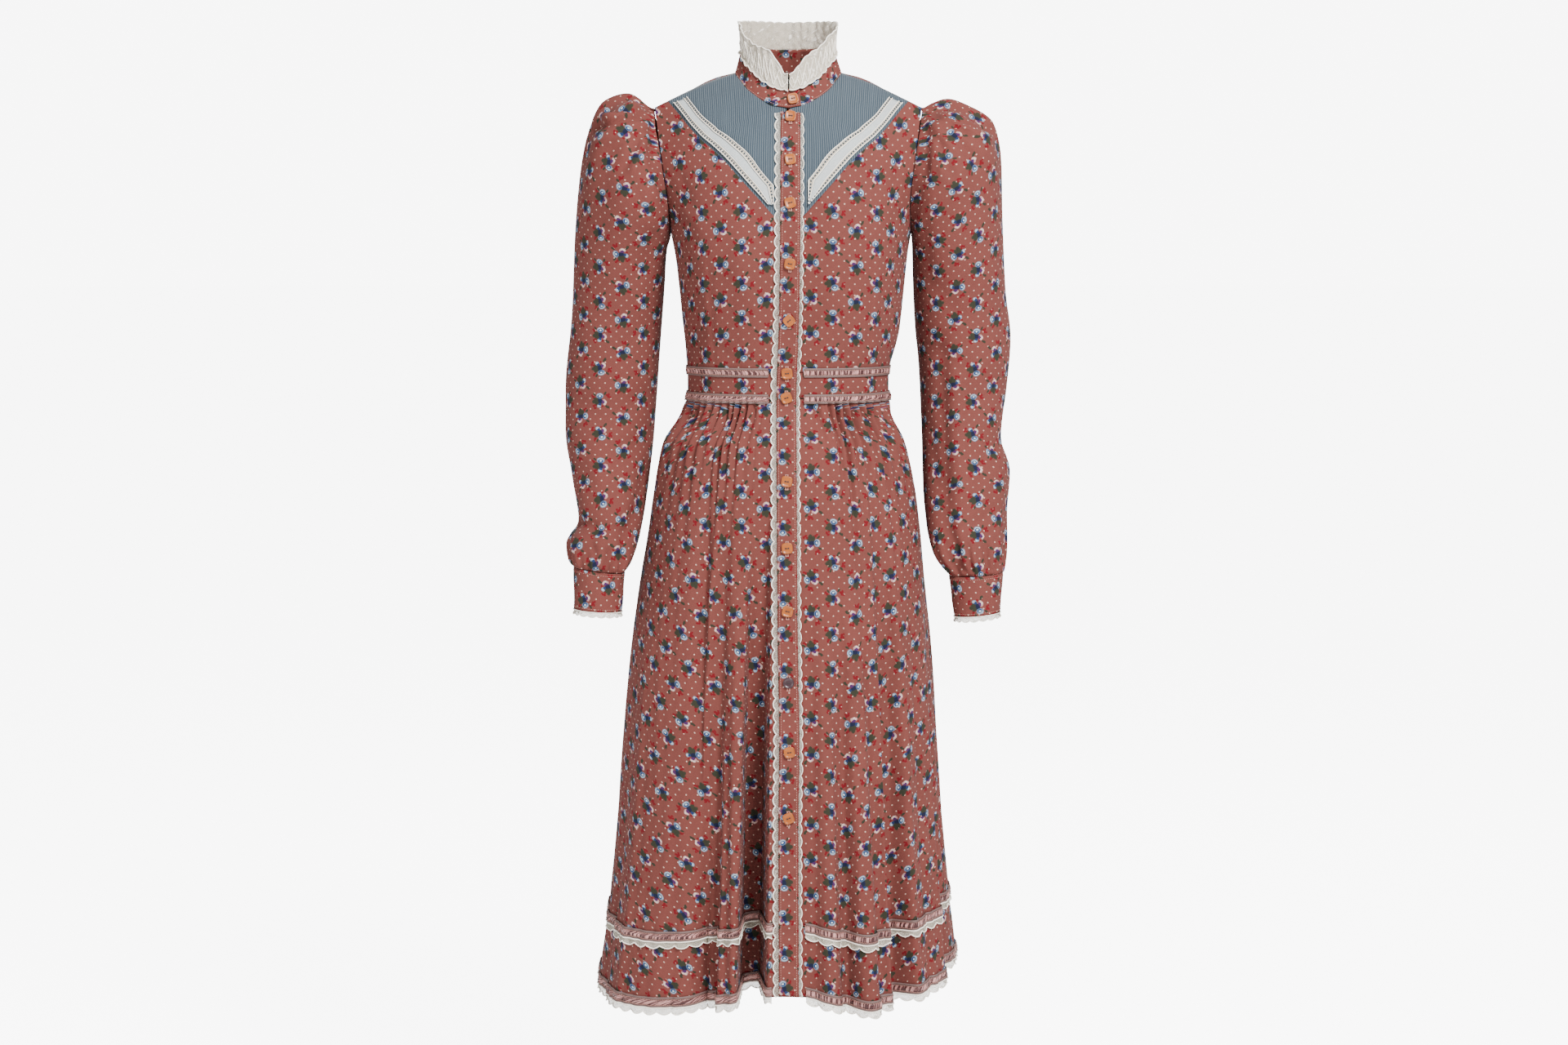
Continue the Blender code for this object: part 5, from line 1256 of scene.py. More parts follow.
# Pleats let out of the waistband: degrees from the centre front, half width in degrees, depth in
# millimetres, and how far down the pleat fades out. Uneven, and alike on the sides that are hidden.
WAIST_PLEATS = (
    (-25, 1.6, 4.6, 55), (-30, 1.3, 6.7, 80), (-34.5, 1.5, 8.1, 70), (-39, 1.2, 6.1, 120),
    (-43, 1.4, 7.2, 60), (-48, 1.3, 5.2, 50), (-53, 1.5, 6.7, 95), (-59, 1.4, 5.5, 60),
    (-66, 1.6, 6.1, 75), (-74, 1.7, 5.2, 50), (-82, 1.7, 5.8, 70), (22, 1.4, 3.8, 40),
    (30, 1.3, 6.1, 70), (34.5, 1.4, 7.5, 110), (39.5, 1.3, 6.4, 60), (44.5, 1.5, 7.8, 85),
    (50, 1.3, 5.8, 60), (56, 1.5, 7.0, 130), (63, 1.5, 5.5, 60), (71, 1.6, 6.1, 75), (80, 1.7, 5.2, 55),
    (90, 1.8, 5.2, 65), (99, 1.6, 6.4, 80), (107, 1.5, 7.0, 60), (115, 1.6, 7.2, 110),
    (123, 1.5, 6.4, 70), (131, 1.5, 7.5, 90), (139, 1.4, 6.7, 65), (146, 1.5, 7.2, 120),
    (153, 1.4, 6.4, 60), (160, 1.5, 7.5, 85), (168, 1.5, 6.7, 70), (176, 1.4, 7.2, 105),
    (-176, 1.5, 6.4, 60), (-168, 1.4, 7.5, 90), (-160, 1.5, 6.7, 65), (-152, 1.4, 7.5, 115),
    (-145, 1.5, 6.4, 60), (-137, 1.5, 7.2, 85), (-129, 1.4, 6.7, 65), (-121, 1.6, 7.2, 105),
    (-113, 1.5, 6.4, 60), (-105, 1.6, 7.0, 80), (-97, 1.6, 5.8, 60), (-90, 1.7, 5.5, 70),
)
# Long soft folds: degrees at the top and at the hem, half width in degrees, depth, the level where
# it starts and the level where it is full
LONG_FOLDS = (
    (-72, -76, 3.0, 4.0, -600, -1000), (-64, -63, 2.6, -3.5, -560, -980),
    (-47, -45, 2.6, 4.5, -520, -980),
    (-43, -38.5, 2.8, 13.0, -430, -620), (-37, -33, 2.2, -3.5, -480, -800),
    (-29, -25.5, 1.6, 4.5, -520, -900), (-25, -21.5, 1.5, -4.5, -540, -860),
    (-9, -7.5, 1.6, -3.0, -560, -900), (6, 7.5, 1.7, 3.0, -700, -1000),
    (11, 11.5, 1.8, 2.8, -560, -1000),
    (20, 21.5, 1.5, 3.6, -620, -1000), (27, 27.5, 1.5, -2.8, -560, -900),
    (35, 36.5, 1.4, 4.6, -480, -860),
    (42, 41.0, 1.5, -3.8, -500, -900), (55, 54.5, 1.8, -4.0, -500, -900),
    (63, 62.0, 1.6, 4.4, -520, -900),
    (71, 71, 2.2, -3.6, -560, -900), (92, 93, 2.5, -3.0, -560, -900), (118, 119, 2.4, 3.4, -520, -900),
    (138, 138, 2.2, 3.0, -560, -960), (155, 155, 2.2, -3.2, -520, -900),
    (173, 173, 2.0, 3.2, -540, -900),
    (-171, -171, 2.2, -3.0, -520, -900), (-152, -152, 2.2, -3.2, -560, -920),
    (-136, -136, 2.2, 3.2, -560, -920),
    (-118, -118, 2.6, 3.4, -520, -900), (-98, -98, 2.6, -3.2, -600, -960),
    (-88, -88, 2.4, 3.2, -600, -980),
)


def skirt_cloth(degrees, level):
    """The skirt's solid form, with its pleats and folds let into it."""
    degrees, level = np.broadcast_arrays(wrap(degrees), np.asarray(level, float))
    point = skirt(degrees, level).copy()
    below = WAIST_LOW - level
    push = np.zeros(degrees.shape)
    for centre, half, depth, fade in WAIST_PLEATS:
        away = wrap(degrees - centre) / half
        near = np.exp(-away * away) - 0.55 * np.exp(-(np.abs(away) - 1.9) ** 2)
        push += depth * MM * near * ease(0.0, 0.014, below) * np.exp(-(below / (fade * MM)) ** 1.4)
    for top, low, half, depth, start, full in LONG_FOLDS:
        down = np.clip((start * MM - level) / (start * MM - HEM), 0, 1)
        away = wrap(degrees - (top + (low - top) * down)) / half
        push += depth * MM * np.exp(-away * away) * ease(start * MM, full * MM, level)
    angle = np.radians(degrees)
    fine = np.sin(angle * 61 + 3 * np.sin(level * 9)) * np.sin(angle * 23 + level * 14)
    push += 0.0007 * fine * ease(0.06, 0.3, below) * lookup(GATHER_SHARE, degrees)
    near_seam = np.exp(-((level - TIER_SEAM) / 0.018) ** 2) + np.exp(-((level - HEM) / 0.016) ** 2)
    puckers = np.sin(cloth_share(degrees) * 2 * math.pi * 118 + 2 * np.sin(angle * 17))
    push += 0.0008 * near_seam * puckers
    push *= ease(2.0, 9.0, np.abs(degrees))
    point[..., 0] -= push * np.sin(angle)
    point[..., 1] += push * np.cos(angle)
    return point


def skirt_degrees(start, end, count):
    """Angles evenly spread over the cloth of the hem."""
    first, last = cloth_share(start), cloth_share(end)
    degrees = cloth_degrees(np.linspace(first, last + (last <= first), count))
    degrees[0], degrees[-1] = start, end if end > start else end + 360
    return degrees


# Skirt panels: degrees from one edge to the other, and columns
SKIRT_PANELS = (("front_right", SKIRT_EDGE, 90.0, 150), ("back", 90.0, -90.0, 250),
                ("front_left", -90.0, -SKIRT_EDGE, 150))


def make_skirt():
    """Skirt and tier. Each front is mapped from its front edge, and the back from its own middle."""
    around = np.concatenate([skirt_degrees(start, end, count)[:-1 if name != "front_left" else None]
                             + (360 if name == "front_left" else 0)
                             for name, start, end, count in SKIRT_PANELS])
    levels = np.concatenate((WAIST_LOW - 0.0002 - np.array([0.0, 0.003, 0.006, 0.010, 0.014, 0.019]),
                             np.linspace(-0.413, TIER_SEAM + 0.0002, 76)))
    tier = np.linspace(TIER_SEAM - 0.0002, HEM, 20)
    everything = np.concatenate((levels, tier))
    points = skirt_cloth(around[None], everything[:, None])
    middle = int(np.argmin(np.abs(around - 180)))
    right, left = flat_map(points, 0), flat_map(points, -1)
    cloth_map = np.where((np.arange(len(around)) <= middle)[None, :, None], right, left)
    cloth_map[..., 1] = 0.6 * cloth_map[..., 1].mean(axis=1)[:, None] + 0.4 * cloth_map[..., 1]
    cloth_map[..., 1] += WAIST_LOW
    column = 0
    for name, start, end, count in SKIRT_PANELS:
        columns = slice(column, column + count)
        column += count - 1
        split = len(levels)
        flat = cloth_map[:, columns].copy()
        if name == "back":
            flat = unrolled(points[:, columns], count // 2)
        panel = shell("skirt_cloth_" + name, points[:split, columns], flat[:split], CALICO)
        wear(panel, ["skirt_" + name])
        panel = shell("tier_cloth_" + name, points[split:, columns], flat[split:], CALICO)
        wear(panel, ["tier_" + name])


def skirt_line(degrees, level):
    """A level line round the skirt, with its outward normals."""
    points = skirt_cloth(degrees, level)
    step = 0.4
    across = skirt_cloth(degrees + step, level) - skirt_cloth(degrees - step, level)
    down = skirt_cloth(degrees, level - 0.004) - skirt_cloth(degrees, level + 0.004)
    return points, unit(np.cross(down, across))


def scalloped_lace(name, node, top, low, normals, at, pitch, depth, radius, lift=0.0012, header=True,
                   net=LACE_EDGING):
    """A lace strip with a scalloped edge: a sheer ground, and a thick cord worked round the edge."""
    hang = np.abs(np.sin(math.pi * at / pitch)) ** 0.75
    edge = low + unit(low - top) * ((hang - 0.45) * depth)[:, None]
    share = np.linspace(0, 1, 5)[:, None, None]
    points = top[None] * (1 - share) + edge[None] * share + normals[None] * lift
    points = points + 0.0005 * np.sin(at * math.pi / pitch + 1)[None, :, None] * share * normals[None]
    trim(shell(name + "_ground", points, flat_map(points), net, TRIM), "lace", node)
    face = normals * 0.0006
    lines = [points[-1] + face * 0.5] + ([points[0] + face] if header else [])
    lay_cord(name + "_cord", lines, radius)


def make_skirt_trims():
    """A gathered ribbon over the tier's seam and one over the hem, with scalloped lace below each."""
    around = skirt_degrees(TRIM_START_RIGHT, -TRIM_START_LEFT, 1500)
    for label, top, seed in (("tier", TIER_SEAM + TIER_RIBBON / 2, 1.3), ("hem", HEM + TIER_RIBBON, 3.7)):
        low = top - TIER_RIBBON
        rows, normals = zip(*[skirt_line(around, level) for level in (top, (top + low) / 2, low)])
        count = len(evenly(rows[0], normals[0], 0.0015)[0])
        lines = np.stack([spread_evenly(row, row, count) for row in rows])
        faces = np.stack([unit(spread_evenly(row, normal, count)) for row, normal in zip(rows, normals)])
        make_ribbon(label + "_ribbon_cloth", label + "_ribbon", lines, faces, seed)
        upper, outward = lines[2], faces[2]
        if label == "tier":
            lower, _ = skirt_line(around, low - TIER_LACE_SHOWN * LACE)
            lower = spread_evenly(lower, lower, count)
        else:
            lower = upper - np.array([0.0, 0.0, HEM_LACE_SHOWN * LACE])
        scalloped_lace(label + "_lace_cloth", label + "_lace", upper, lower, outward,
                       reached(upper[None], 1)[0], SCALLOP_PITCH, depth=0.0042, radius=0.0008)


# ---- placket and buttons ----

PLACKET_LEVELS = finer((0.872, 0.82, 0.76, 0.70, 0.64, 0.56, 0.45, 0.32, 0.22, 0.11, 0.0), 9)
PLACKET_COLUMNS, PLACKET_MIDDLE = 11, 5
PLACKET_LIFT, UNDER_LIFT = 0.0025, -0.0026    # of the two plackets, from the line of the front
SKIRT_PLACKET_LEVELS = np.concatenate((np.linspace(-0.3885, -0.46, 20), np.linspace(-0.465, HEM, 150)))


def front_line(offset):
    """Points down the whole front, at a sideways offset from the placket's centre."""
    height = bodice(FRONT_ROWS, 1, 0.0, PLACKET_LEVELS)[:, 2]
    target = lookup(PLACKET_CENTRE, height / MM) * MM + offset
    across = np.abs(target) / HALF_FRONT
    sides = np.where(target < 0, -1, 1)
    for _ in range(8):
        left, right = (bodice(FRONT_ROWS, side, across, PLACKET_LEVELS) for side in (-1, 1))
        point = np.where((sides < 0)[:, None], left, right)
        across = across * target / (point[:, 0] + NUDGE * sides)
    target = lookup(PLACKET_CENTRE, SKIRT_PLACKET_LEVELS / MM) * MM + offset
    degrees = np.degrees(target / HALF_FRONT)
    for _ in range(8):
        skirt_point = skirt_cloth(degrees, SKIRT_PLACKET_LEVELS)
        degrees = degrees * target / (skirt_point[:, 0] + NUDGE)
    return np.concatenate((point, skirt_point))


def placket_form():
    """The placket's cloth: flatter across than the skirt that it hangs on."""
    offsets = np.linspace(PLACKET_LEFT, PLACKET_RIGHT, PLACKET_COLUMNS)
    points = np.stack([front_line(offset) for offset in offsets], axis=1)
    slope = points[:, -1] - points[:, 0]
    share = np.linspace(0, 1, PLACKET_COLUMNS)[None, :, None]
    return 0.25 * points + 0.75 * (points[:, :1] + slope[:, None] * share)


def make_placket():
    """The placket with its puckers, the one that it buttons to, and its stitching."""
    points = placket_form()
    normal = normals_of(points)
    down = reached(points, 0)[:, PLACKET_MIDDLE]
    tight = ease(-0.62, -0.95, points[:, PLACKET_MIDDLE, 2])
    pucker = np.sin(down * 2 * math.pi / 0.021 + 1.4 * np.sin(down * 31)) * tight
    pucker = pucker + 0.45 * np.sin(down * 2 * math.pi / 0.034 + 2 * np.sin(down * 17))
    crown = np.sin(math.pi * np.linspace(0.0, 1.0, PLACKET_COLUMNS))[None] ** 0.5
    top = points + normal * (PLACKET_LIFT + 0.00075 * pucker[:, None] * crown)[..., None]
    cloth_map = flat_map(points, PLACKET_MIDDLE, (0.0061, 0.0))
    upper = shell("placket_cloth", top, cloth_map, CALICO, 0.0012)
    wear(upper, ["placket"])
    under = shell("under_placket_cloth", points + normal * UNDER_LIFT, cloth_map, CALICO, CLOTH)
    wear(under, ["under_placket"])
    lines = [top[:, column] + normal[:, column] * 0.0001 for column in (1, 9)]
    sew("placket_stitches", lines, "calico", 0.00024, 0.0019, 0.0029)
    make_placket_lace(points, normal)
    return top, normal


def make_placket_lace(points, normal):
    """Scalloped lace down both sides of the placket. More of the left one shows."""
    for label, side, edge, depth, radius in (("left", -1, PLACKET_LEFT - SEAM, 0.0036, 0.0008),
                                             ("right", 1, PLACKET_RIGHT + SEAM, 0.0026, 0.0006)):
        column = 0 if side < 0 else -1
        inner = points[:, column] + normal[:, column] * 0.0003
        outer = front_line(edge + side * PLACKET_LACE * PLACKET_LACE_SHOWN[side])
        half = points[:, column] - points[:, PLACKET_MIDDLE]
        carried = inner[:, 1] + half[:, 1] / half[:, 0] * (outer[:, 0] - inner[:, 0])
        outer[:, 1] = np.minimum(outer[:, 1], carried)
        length = reached(inner[None], 1)[0]
        at = np.linspace(0, length[-1], 700)
        inner, outer, outward = (respaced(line, length, at)[::side]
                                 for line in (inner, outer, normal[:, column]))
        scalloped_lace("placket_lace_cloth_" + label, "placket_lace_" + label, inner, outer, outward, at,
                       PLACKET_SCALLOP, depth, radius, header=False, net=LACE_SHEER)


def facing(point, normal, turn=0.0):
    """A place on the cloth whose z axis is the cloth's normal, turned by some degrees."""
    out = Vector(normal).normalized()
    sideways = Vector((0, 0, 1)).cross(out).normalized()
    frame_in = Matrix((sideways, out.cross(sideways), out)).transposed().to_4x4()
    return Matrix.Translation(Vector(point)) @ frame_in @ Matrix.Rotation(math.radians(turn), 4, "Z")


# A button's turned profile: share of its reach, and share of its thickness
BUTTON_PROFILE = ((0.0, -0.5), (0.80, -0.5), (0.95, -0.36), (1.0, -0.05), (1.0, 0.15), (0.96, 0.38),
                  (0.88, 0.5), (0.78, 0.46), (0.70, 0.30), (0.50, 0.22), (0.30, 0.22))
BUTTON_SIDES = 40
BUTTON_DISH = 0.22        # height of the dished face inside the rim, as a share of the thickness
BAR_STEPS = 8
HOLE_APART, HOLE_REACH = 0.0017, 0.0008


ROUND, SQUARISH = 2.0, 3.6


def turned_button(power):
    """Points and faces of a button with a raised rim; a high power squares its outline."""
    points, faces = [(0.0, 0.0, -0.5 * BUTTON_THICK)], []
    for share, height in BUTTON_PROFILE[1:]:
        for k in range(BUTTON_SIDES):
            angle = 2 * math.pi * k / BUTTON_SIDES
            spread = abs(math.cos(angle)) ** power + abs(math.sin(angle)) ** power
            reach = share * BUTTON / 2 * spread ** (-1 / power)
            points.append((reach * math.cos(angle), reach * math.sin(angle), height * BUTTON_THICK))
    rings = len(BUTTON_PROFILE) - 1
    for k in range(BUTTON_SIDES):
        nxt = (k + 1) % BUTTON_SIDES
        faces.append((0, 1 + nxt, 1 + k))
        for ring in range(rings - 1):
            low = 1 + ring * BUTTON_SIDES
            faces.append((low + k, low + nxt, low + BUTTON_SIDES + nxt, low + BUTTON_SIDES + k))
    points.append((0.0, 0.0, BUTTON_DISH * BUTTON_THICK))
    last = 1 + (rings - 1) * BUTTON_SIDES
    for k in range(BUTTON_SIDES):
        faces.append((last + k, last + (k + 1) % BUTTON_SIDES, len(points) - 1))
    return points, faces


def add_part(points, faces, marks, new_points, new_faces, mark):
    """Add a sub-part to a piece's lists, its faces marked with the number of its material."""
    first = len(points)
    points.extend(new_points)
    faces.extend(tuple(first + corner for corner in face) for face in new_faces)
    marks.extend([mark] * len(new_faces))


def round_part(place, radii, heights, sides=10):
    """A small turned part: rings of the given radii at the given heights, round a point."""
    points, faces = [], []
    for radius, height in zip(radii, heights):
        points += [(place[0] + radius * math.cos(2 * math.pi * k / sides),
                    place[1] + radius * math.sin(2 * math.pi * k / sides), height) for k in range(sides)]
    for ring in range(len(radii) - 1):
        for k in range(sides):
            low, nxt = ring * sides, (k + 1) % sides
            faces.append((low + k, low + nxt, low + sides + nxt, low + sides + k))
    faces.append(tuple((len(radii) - 1) * sides + k for k in range(sides)))
    faces.append(tuple(reversed(range(sides))))
    return points, faces


def thread_bar(face):
    """The bar of thread between a button's two holes: six-sided, arched over its face."""
    points, faces = [], []
    for step in range(BAR_STEPS + 1):
        angle = math.pi * step / BAR_STEPS
        x, z = HOLE_APART * math.cos(angle), face + 0.0001 + 0.00045 * math.sin(angle)
        points += [(x, 0.00042 * math.cos(2 * math.pi * k / 6), z + 0.00022 * math.sin(2 * math.pi * k / 6))
                   for k in range(6)]
    for step in range(BAR_STEPS):
        for k in range(6):
            a, b = step * 6 + k, step * 6 + (k + 1) % 6
            faces.append((a, a + 6, b + 6, b))
    return points, faces


def make_button(number, place, power, material, slot):
    """One button with its two holes and the thread that holds it."""
    points, faces, marks = [], [], []
    add_part(points, faces, marks, *turned_button(power), 0)
    face = BUTTON_DISH * BUTTON_THICK
    for side in (-1, 1):
        hole = (side * HOLE_APART, 0.0)
        rings = round_part(hole, (HOLE_REACH * 1.35, HOLE_REACH * 1.2, HOLE_REACH * 0.9),
                           (face - 0.0001, face + 0.00012, face + 0.00015))
        add_part(points, faces, marks, *rings, 1)
    add_part(points, faces, marks, *thread_bar(face), 1)
    mesh = bpy.data.meshes.new("sewn_button_%02d" % number)
    mesh.from_pydata(points, [], faces)
    mesh.materials.append(material)
    mesh.materials.append(DARK_THREAD)
    mesh.polygons.foreach_set("material_index", marks)
    mesh.transform(place)
    mesh.shade_smooth()
    trim(placed(mesh.name, mesh), slot, "button_%02d" % number)


# How far each button has turned on its thread, in degrees, from the collar down
BUTTON_TURNS = (12, -4, 8, 14, -10, 40, 6, 18, -8, 5, -12, 0, 10, 22)


def make_buttons(top, normals):
    """The collar's button, and those of the placket over their buttonholes."""
    rise = top[::-1, PLACKET_MIDDLE, 2]
    holes = []
    for number, height in enumerate(BUTTON_HEIGHTS, start=2):
        point, out = (respaced(grid[::-1, PLACKET_MIDDLE], rise, height * MM) for grid in (top, normals))
        out = unit(out)
        dark = number == REPLACED_BUTTON
        seat = facing(point + out * (0.0009 + BUTTON_THICK / 2), out, BUTTON_TURNS[number - 1])
        make_button(number, seat, ROUND if dark else SQUARISH, STAINED if dark else BOXWOOD,
                    "button_dark" if dark else "button")
        holes.append(facing(point + out * 0.0005, out))
    height = 0.38
    out = collar_outward(np.array([COLLAR_BUTTON]), np.array([height]))[0]
    point = collar(COLLAR_BUTTON, height) + out * (OVERLAP + 0.0012 + BUTTON_THICK / 2)
    make_button(1, facing(point, out, BUTTON_TURNS[0]), SQUARISH, BOXWOOD, "button")
    bars = [line for place in holes for line in buttonhole(place)]
    lay_cord("buttonhole_stitches", bars, 0.00036, "calico", SEWING)


def buttonhole(place):
    """Stitches of an upright buttonhole: close ones down both sides, and a bar at each end."""
    lines = []
    for side in (-1, 1):
        for step in range(22):
            y = 0.0075 - step * 0.00078
            lines.append(((side * 0.0004, y, 0.0004), (side * 0.0021, y, 0.0002)))
    lines += [((-0.0020, y, 0.0004), (0.0020, y, 0.0004)) for y in (0.0083, -0.0095)]
    return [[place @ Vector(end) for end in line] for line in lines]


# ---- collar ----

COLLAR_COLUMNS = 260
LACE_RUFFLE = 0.0016      # how far the ruff's waves go in and out


def overlap_lift(degrees):
    """How far the collar is lifted where its buttoning end lies over the other."""
    return OVERLAP * ease(*OVER_LIFT, degrees)


def make_collar():
    """The stand collar, whose buttoning end lies over the other, and its stitching."""
    degrees = np.linspace(STAND_UNDER - 360, STAND_OVER, COLLAR_COLUMNS)
    heights = np.linspace(1.0, -0.05, 12)[:, None]
    normal = collar_outward(degrees, heights)
    points = collar(degrees, heights) + normal * overlap_lift(degrees)[:, None]
    angle = np.radians(degrees)
    buckle = 0.0006 * np.sin(angle * 9 + heights * 3) + 0.0004 * np.sin(angle * 23)
    points = points + normal * (buckle * (1 - heights) * heights * 3.0)[..., None]
    stand = shell("collar_stand_cloth", points, flat_map(points, COLLAR_COLUMNS // 2), CALICO, 0.0013)
    wear(stand, ["collar_stand"])
    lines = [points[1] + normal[1] * 0.0001, points[-2] + normal[-2] * 0.0001]
    sew("collar_stitches", lines, "calico", 0.00022, 0.0018, 0.0028)


def make_collar_lace():
    """A standing ruff of embossed lace whose worked lower edge falls over the collar."""
    degrees = np.linspace(1.2 - 360, -0.4, 470)
    base = collar(degrees, 1.0)
    away = unit(base * np.array([1.0, 1.0, 0.0]))
    clear = np.maximum(overlap_lift(degrees), overlap_lift(-360 - degrees))
    rise = lookup(COLLAR_LACE_RISE, wrap(degrees)) * MM
    at = reached(base[None], 1)[0]
    scallop = np.abs(np.sin(math.pi * at / 0.0115)) ** 0.7
    ruffle = LACE_RUFFLE * np.cos(math.pi * at / 0.0195) + 0.0009 * np.sin(at * 540 + 2 * np.sin(at * 70))
    rows = []
    shares = np.linspace(1.0, 0.0, 16)
    for share in shares:
        lift = clear + LACE_FLARE * share ** 2 + ruffle * share
        row = base + away * lift[:, None]
        row[:, 2] += rise * share + 0.0016 * scallop * max(0.0, share - 0.75) * 4
        rows.append(row)
    drop = 0.0004 + 0.0022 * scallop
    for share in np.linspace(0.25, 1.0, 5):
        row = collar(degrees, 1 - share * drop / 0.026)
        row = row + away * (clear + 0.0006 + 0.0009 * share * (1 + ruffle / LACE_RUFFLE))[:, None]
        rows.append(row)
    points = np.stack(rows) + away * 0.0012
    emboss = np.sin(at * 470)[None] * np.sin(reached(points, 0) * 520 + np.sin(at * 210)[None] * 1.5)
    points = points + away * (0.0006 * emboss)[..., None]
    ruff = shell("collar_lace_cloth", points, flat_map(points), LACE_RUFF, TRIM)
    wear(ruff, ["collar_lace"])
    lay_cord("collar_lace_cord", [points[0], points[-1] + away * 0.0003], 0.0008)
    sprigs = []
    for pitch, low, high, seed in ((0.0098, 0.25, 0.80, 0.0), (0.0098, 0.05, 0.45, 1.7)):
        wave = (low + high) / 2 + (high - low) / 2 * np.sin(at * 2 * math.pi / pitch + seed + np.sin(at * 90))
        place = (1 - wave) * (len(shares) - 1)
        row = np.clip(place.astype(int), 0, len(points) - 2)
        part = (place - row)[:, None]
        columns = np.arange(len(at))
        line = points[row, columns] * (1 - part) + points[row + 1, columns] * part
        sprigs.append(line + away * 0.0005)
    lay_cord("collar_lace_vines", sprigs, 0.0006)


# ---- sleeves ----

# Troughs and ridges on each sleeve's front, and on both sleeves' backs
SLEEVE_CREASES = {
    "left": (
        (-160, -48, -244, -68, 4.5, 8.0), (-160, -43, -218, -46, 3.5, 6.5),
        (-158, -58, -232, -86, 6, -4.0),
        (-160, -52, -192, -34, 3.5, -4.0), (-160, -40, -200, -30, 3, 4.0),
        (-186, -50, -224, -54, 4, -4.0),
        (-162, -52, -161, -112, 4.5, 5.5), (-166, -60, -200, -124, 5, 4.5),
        (-170, -58, -236, -112, 5, 3.6),
        (-169, -66, -186, -130, 4, -2.6),
        (-160, -120, -166, -190, 8, -2.0), (-157, -190, -180, -250, 9, 2.4),
        (-160, -215, -172, -330, 8, 1.8),
        (-176, -300, -214, -352, 13, 2.0), (-166, -385, -222, -420, 12, 2.6),
        (-262, -390, -214, -430, 12, 2.2),
        (-170, -430, -210, -480, 10, 2.4), (-262, -470, -214, -520, 11, 2.0),
        (-172, -470, -186, -552, 8, 3.6),
        (-264, -540, -184, -552, 6, 4.6), (-262, -556, -190, -570, 7, -3.0),
        (-236, -560, -228, -598, 4, 2.6),
        (-216, -560, -212, -600, 4, 2.4), (-200, -556, -202, -600, 4, 2.8),
        (-184, -520, -196, -560, 6, 3.0),
        (-232, -450, -226, -520, 12, -2.2), (-205, -130, -210, -280, 16, -1.6),
    ),
    "right": (
        (164, -43, 222, -78, 4.5, 8.0), (180, -45, 246, -70, 4, 6.5), (164, -55, 210, -104, 6, -3.8),
        (170, -42, 206, -42, 3.5, 4.0), (176, -50, 232, -80, 4, -4.2), (163, -56, 163, -130, 4.5, 5.0),
        (168, -60, 196, -128, 5, 4.4), (172, -58, 232, -116, 5, 3.4), (173, -66, 184, -130, 4, -2.4),
        (160, -150, 170, -260, 8, 2.0),
        (168, -240, 210, -300, 12, 2.2), (170, -330, 226, -362, 12, 2.4),
        (262, -372, 214, -402, 12, 2.0),
        (186, -330, 190, -545, 9, 3.6), (200, -330, 206, -540, 11, -2.6), (172, -420, 180, -500, 6, 2.4),
        (262, -440, 214, -486, 10, 3.4), (262, -470, 220, -512, 9, -2.4), (258, -520, 212, -548, 8, 3.0),
        (218, -566, 219, -604, 4, 4.0), (236, -560, 240, -602, 5, 2.6), (204, -560, 205, -600, 4, 3.0),
        (256, -575, 248, -602, 5, 2.6), (192, -540, 202, -598, 5, 2.6), (240, -140, 244, -280, 14, -1.4),
    ),
}
SLEEVE_BACK_CREASES = (
    (160, -50, 226, -80, 6, 4.0), (160, -60, 210, -110, 6, -2.4), (170, -230, 220, -290, 12, 2.2),
    (168, -350, 236, -380, 12, 3.0), (258, -380, 196, -410, 12, 2.4), (174, -400, 236, -436, 11, 2.6),
    (262, -470, 200, -510, 11, 2.6), (214, -560, 216, -602, 4, 3.4), (238, -560, 240, -602, 5, 2.8),
    (196, -560, 200, -600, 4, 3.0), (250, -530, 190, -556, 8, 3.0),
)


SLEEVE_COLUMNS, CUFF_COLUMNS = 149, 121
CUFF_GATHERS, CUFF_SCALLOPS = 23, 16


def closed(points):
    """Make the last column of a ring the same as its first."""
    points[:, -1] = points[:, 0]
    return points


def make_sleeve(side, label, table):
    """A sleeve, creased front and back, with fine gathers into its cuff."""
    turn = np.linspace(-1, 1, SLEEVE_COLUMNS)
    degrees = np.sign(turn) * np.abs(turn) ** SLEEVE_CROWDING * 180
    rows = np.concatenate((np.linspace(0, 0.22, 30), np.linspace(0.23, 0.80, 50),
                           np.linspace(0.81, 1.0, 28)))
    points = closed(sleeve(side, table, degrees, rows[:, None])[:, ::side])
    cloth_map = unrolled(points, SLEEVE_COLUMNS // 2)
    points = creased(points, SLEEVE_CREASES[label], ring=True)
    back = [(x * side, z, u * side, w, half, depth) for x, z, u, w, half, depth in SLEEVE_BACK_CREASES]
    points = creased(points, back, facing=1, ring=True)
    around = np.arange(SLEEVE_COLUMNS) / (SLEEVE_COLUMNS - 1)
    gather = np.sin(around * 2 * math.pi * CUFF_GATHERS) * 0.0009
    on_cuff = ease(0.86, 0.96, rows)[:, None] * ease(1.004, 0.985, rows)[:, None]
    normal = normals_of(points, ring=True)
    points = closed(points + normal * (gather[None] * on_cuff)[..., None])
    piece = shell("sleeve_cloth_" + label, points, cloth_map, CALICO, ring=True)
    wear(piece, ["sleeve_" + label])


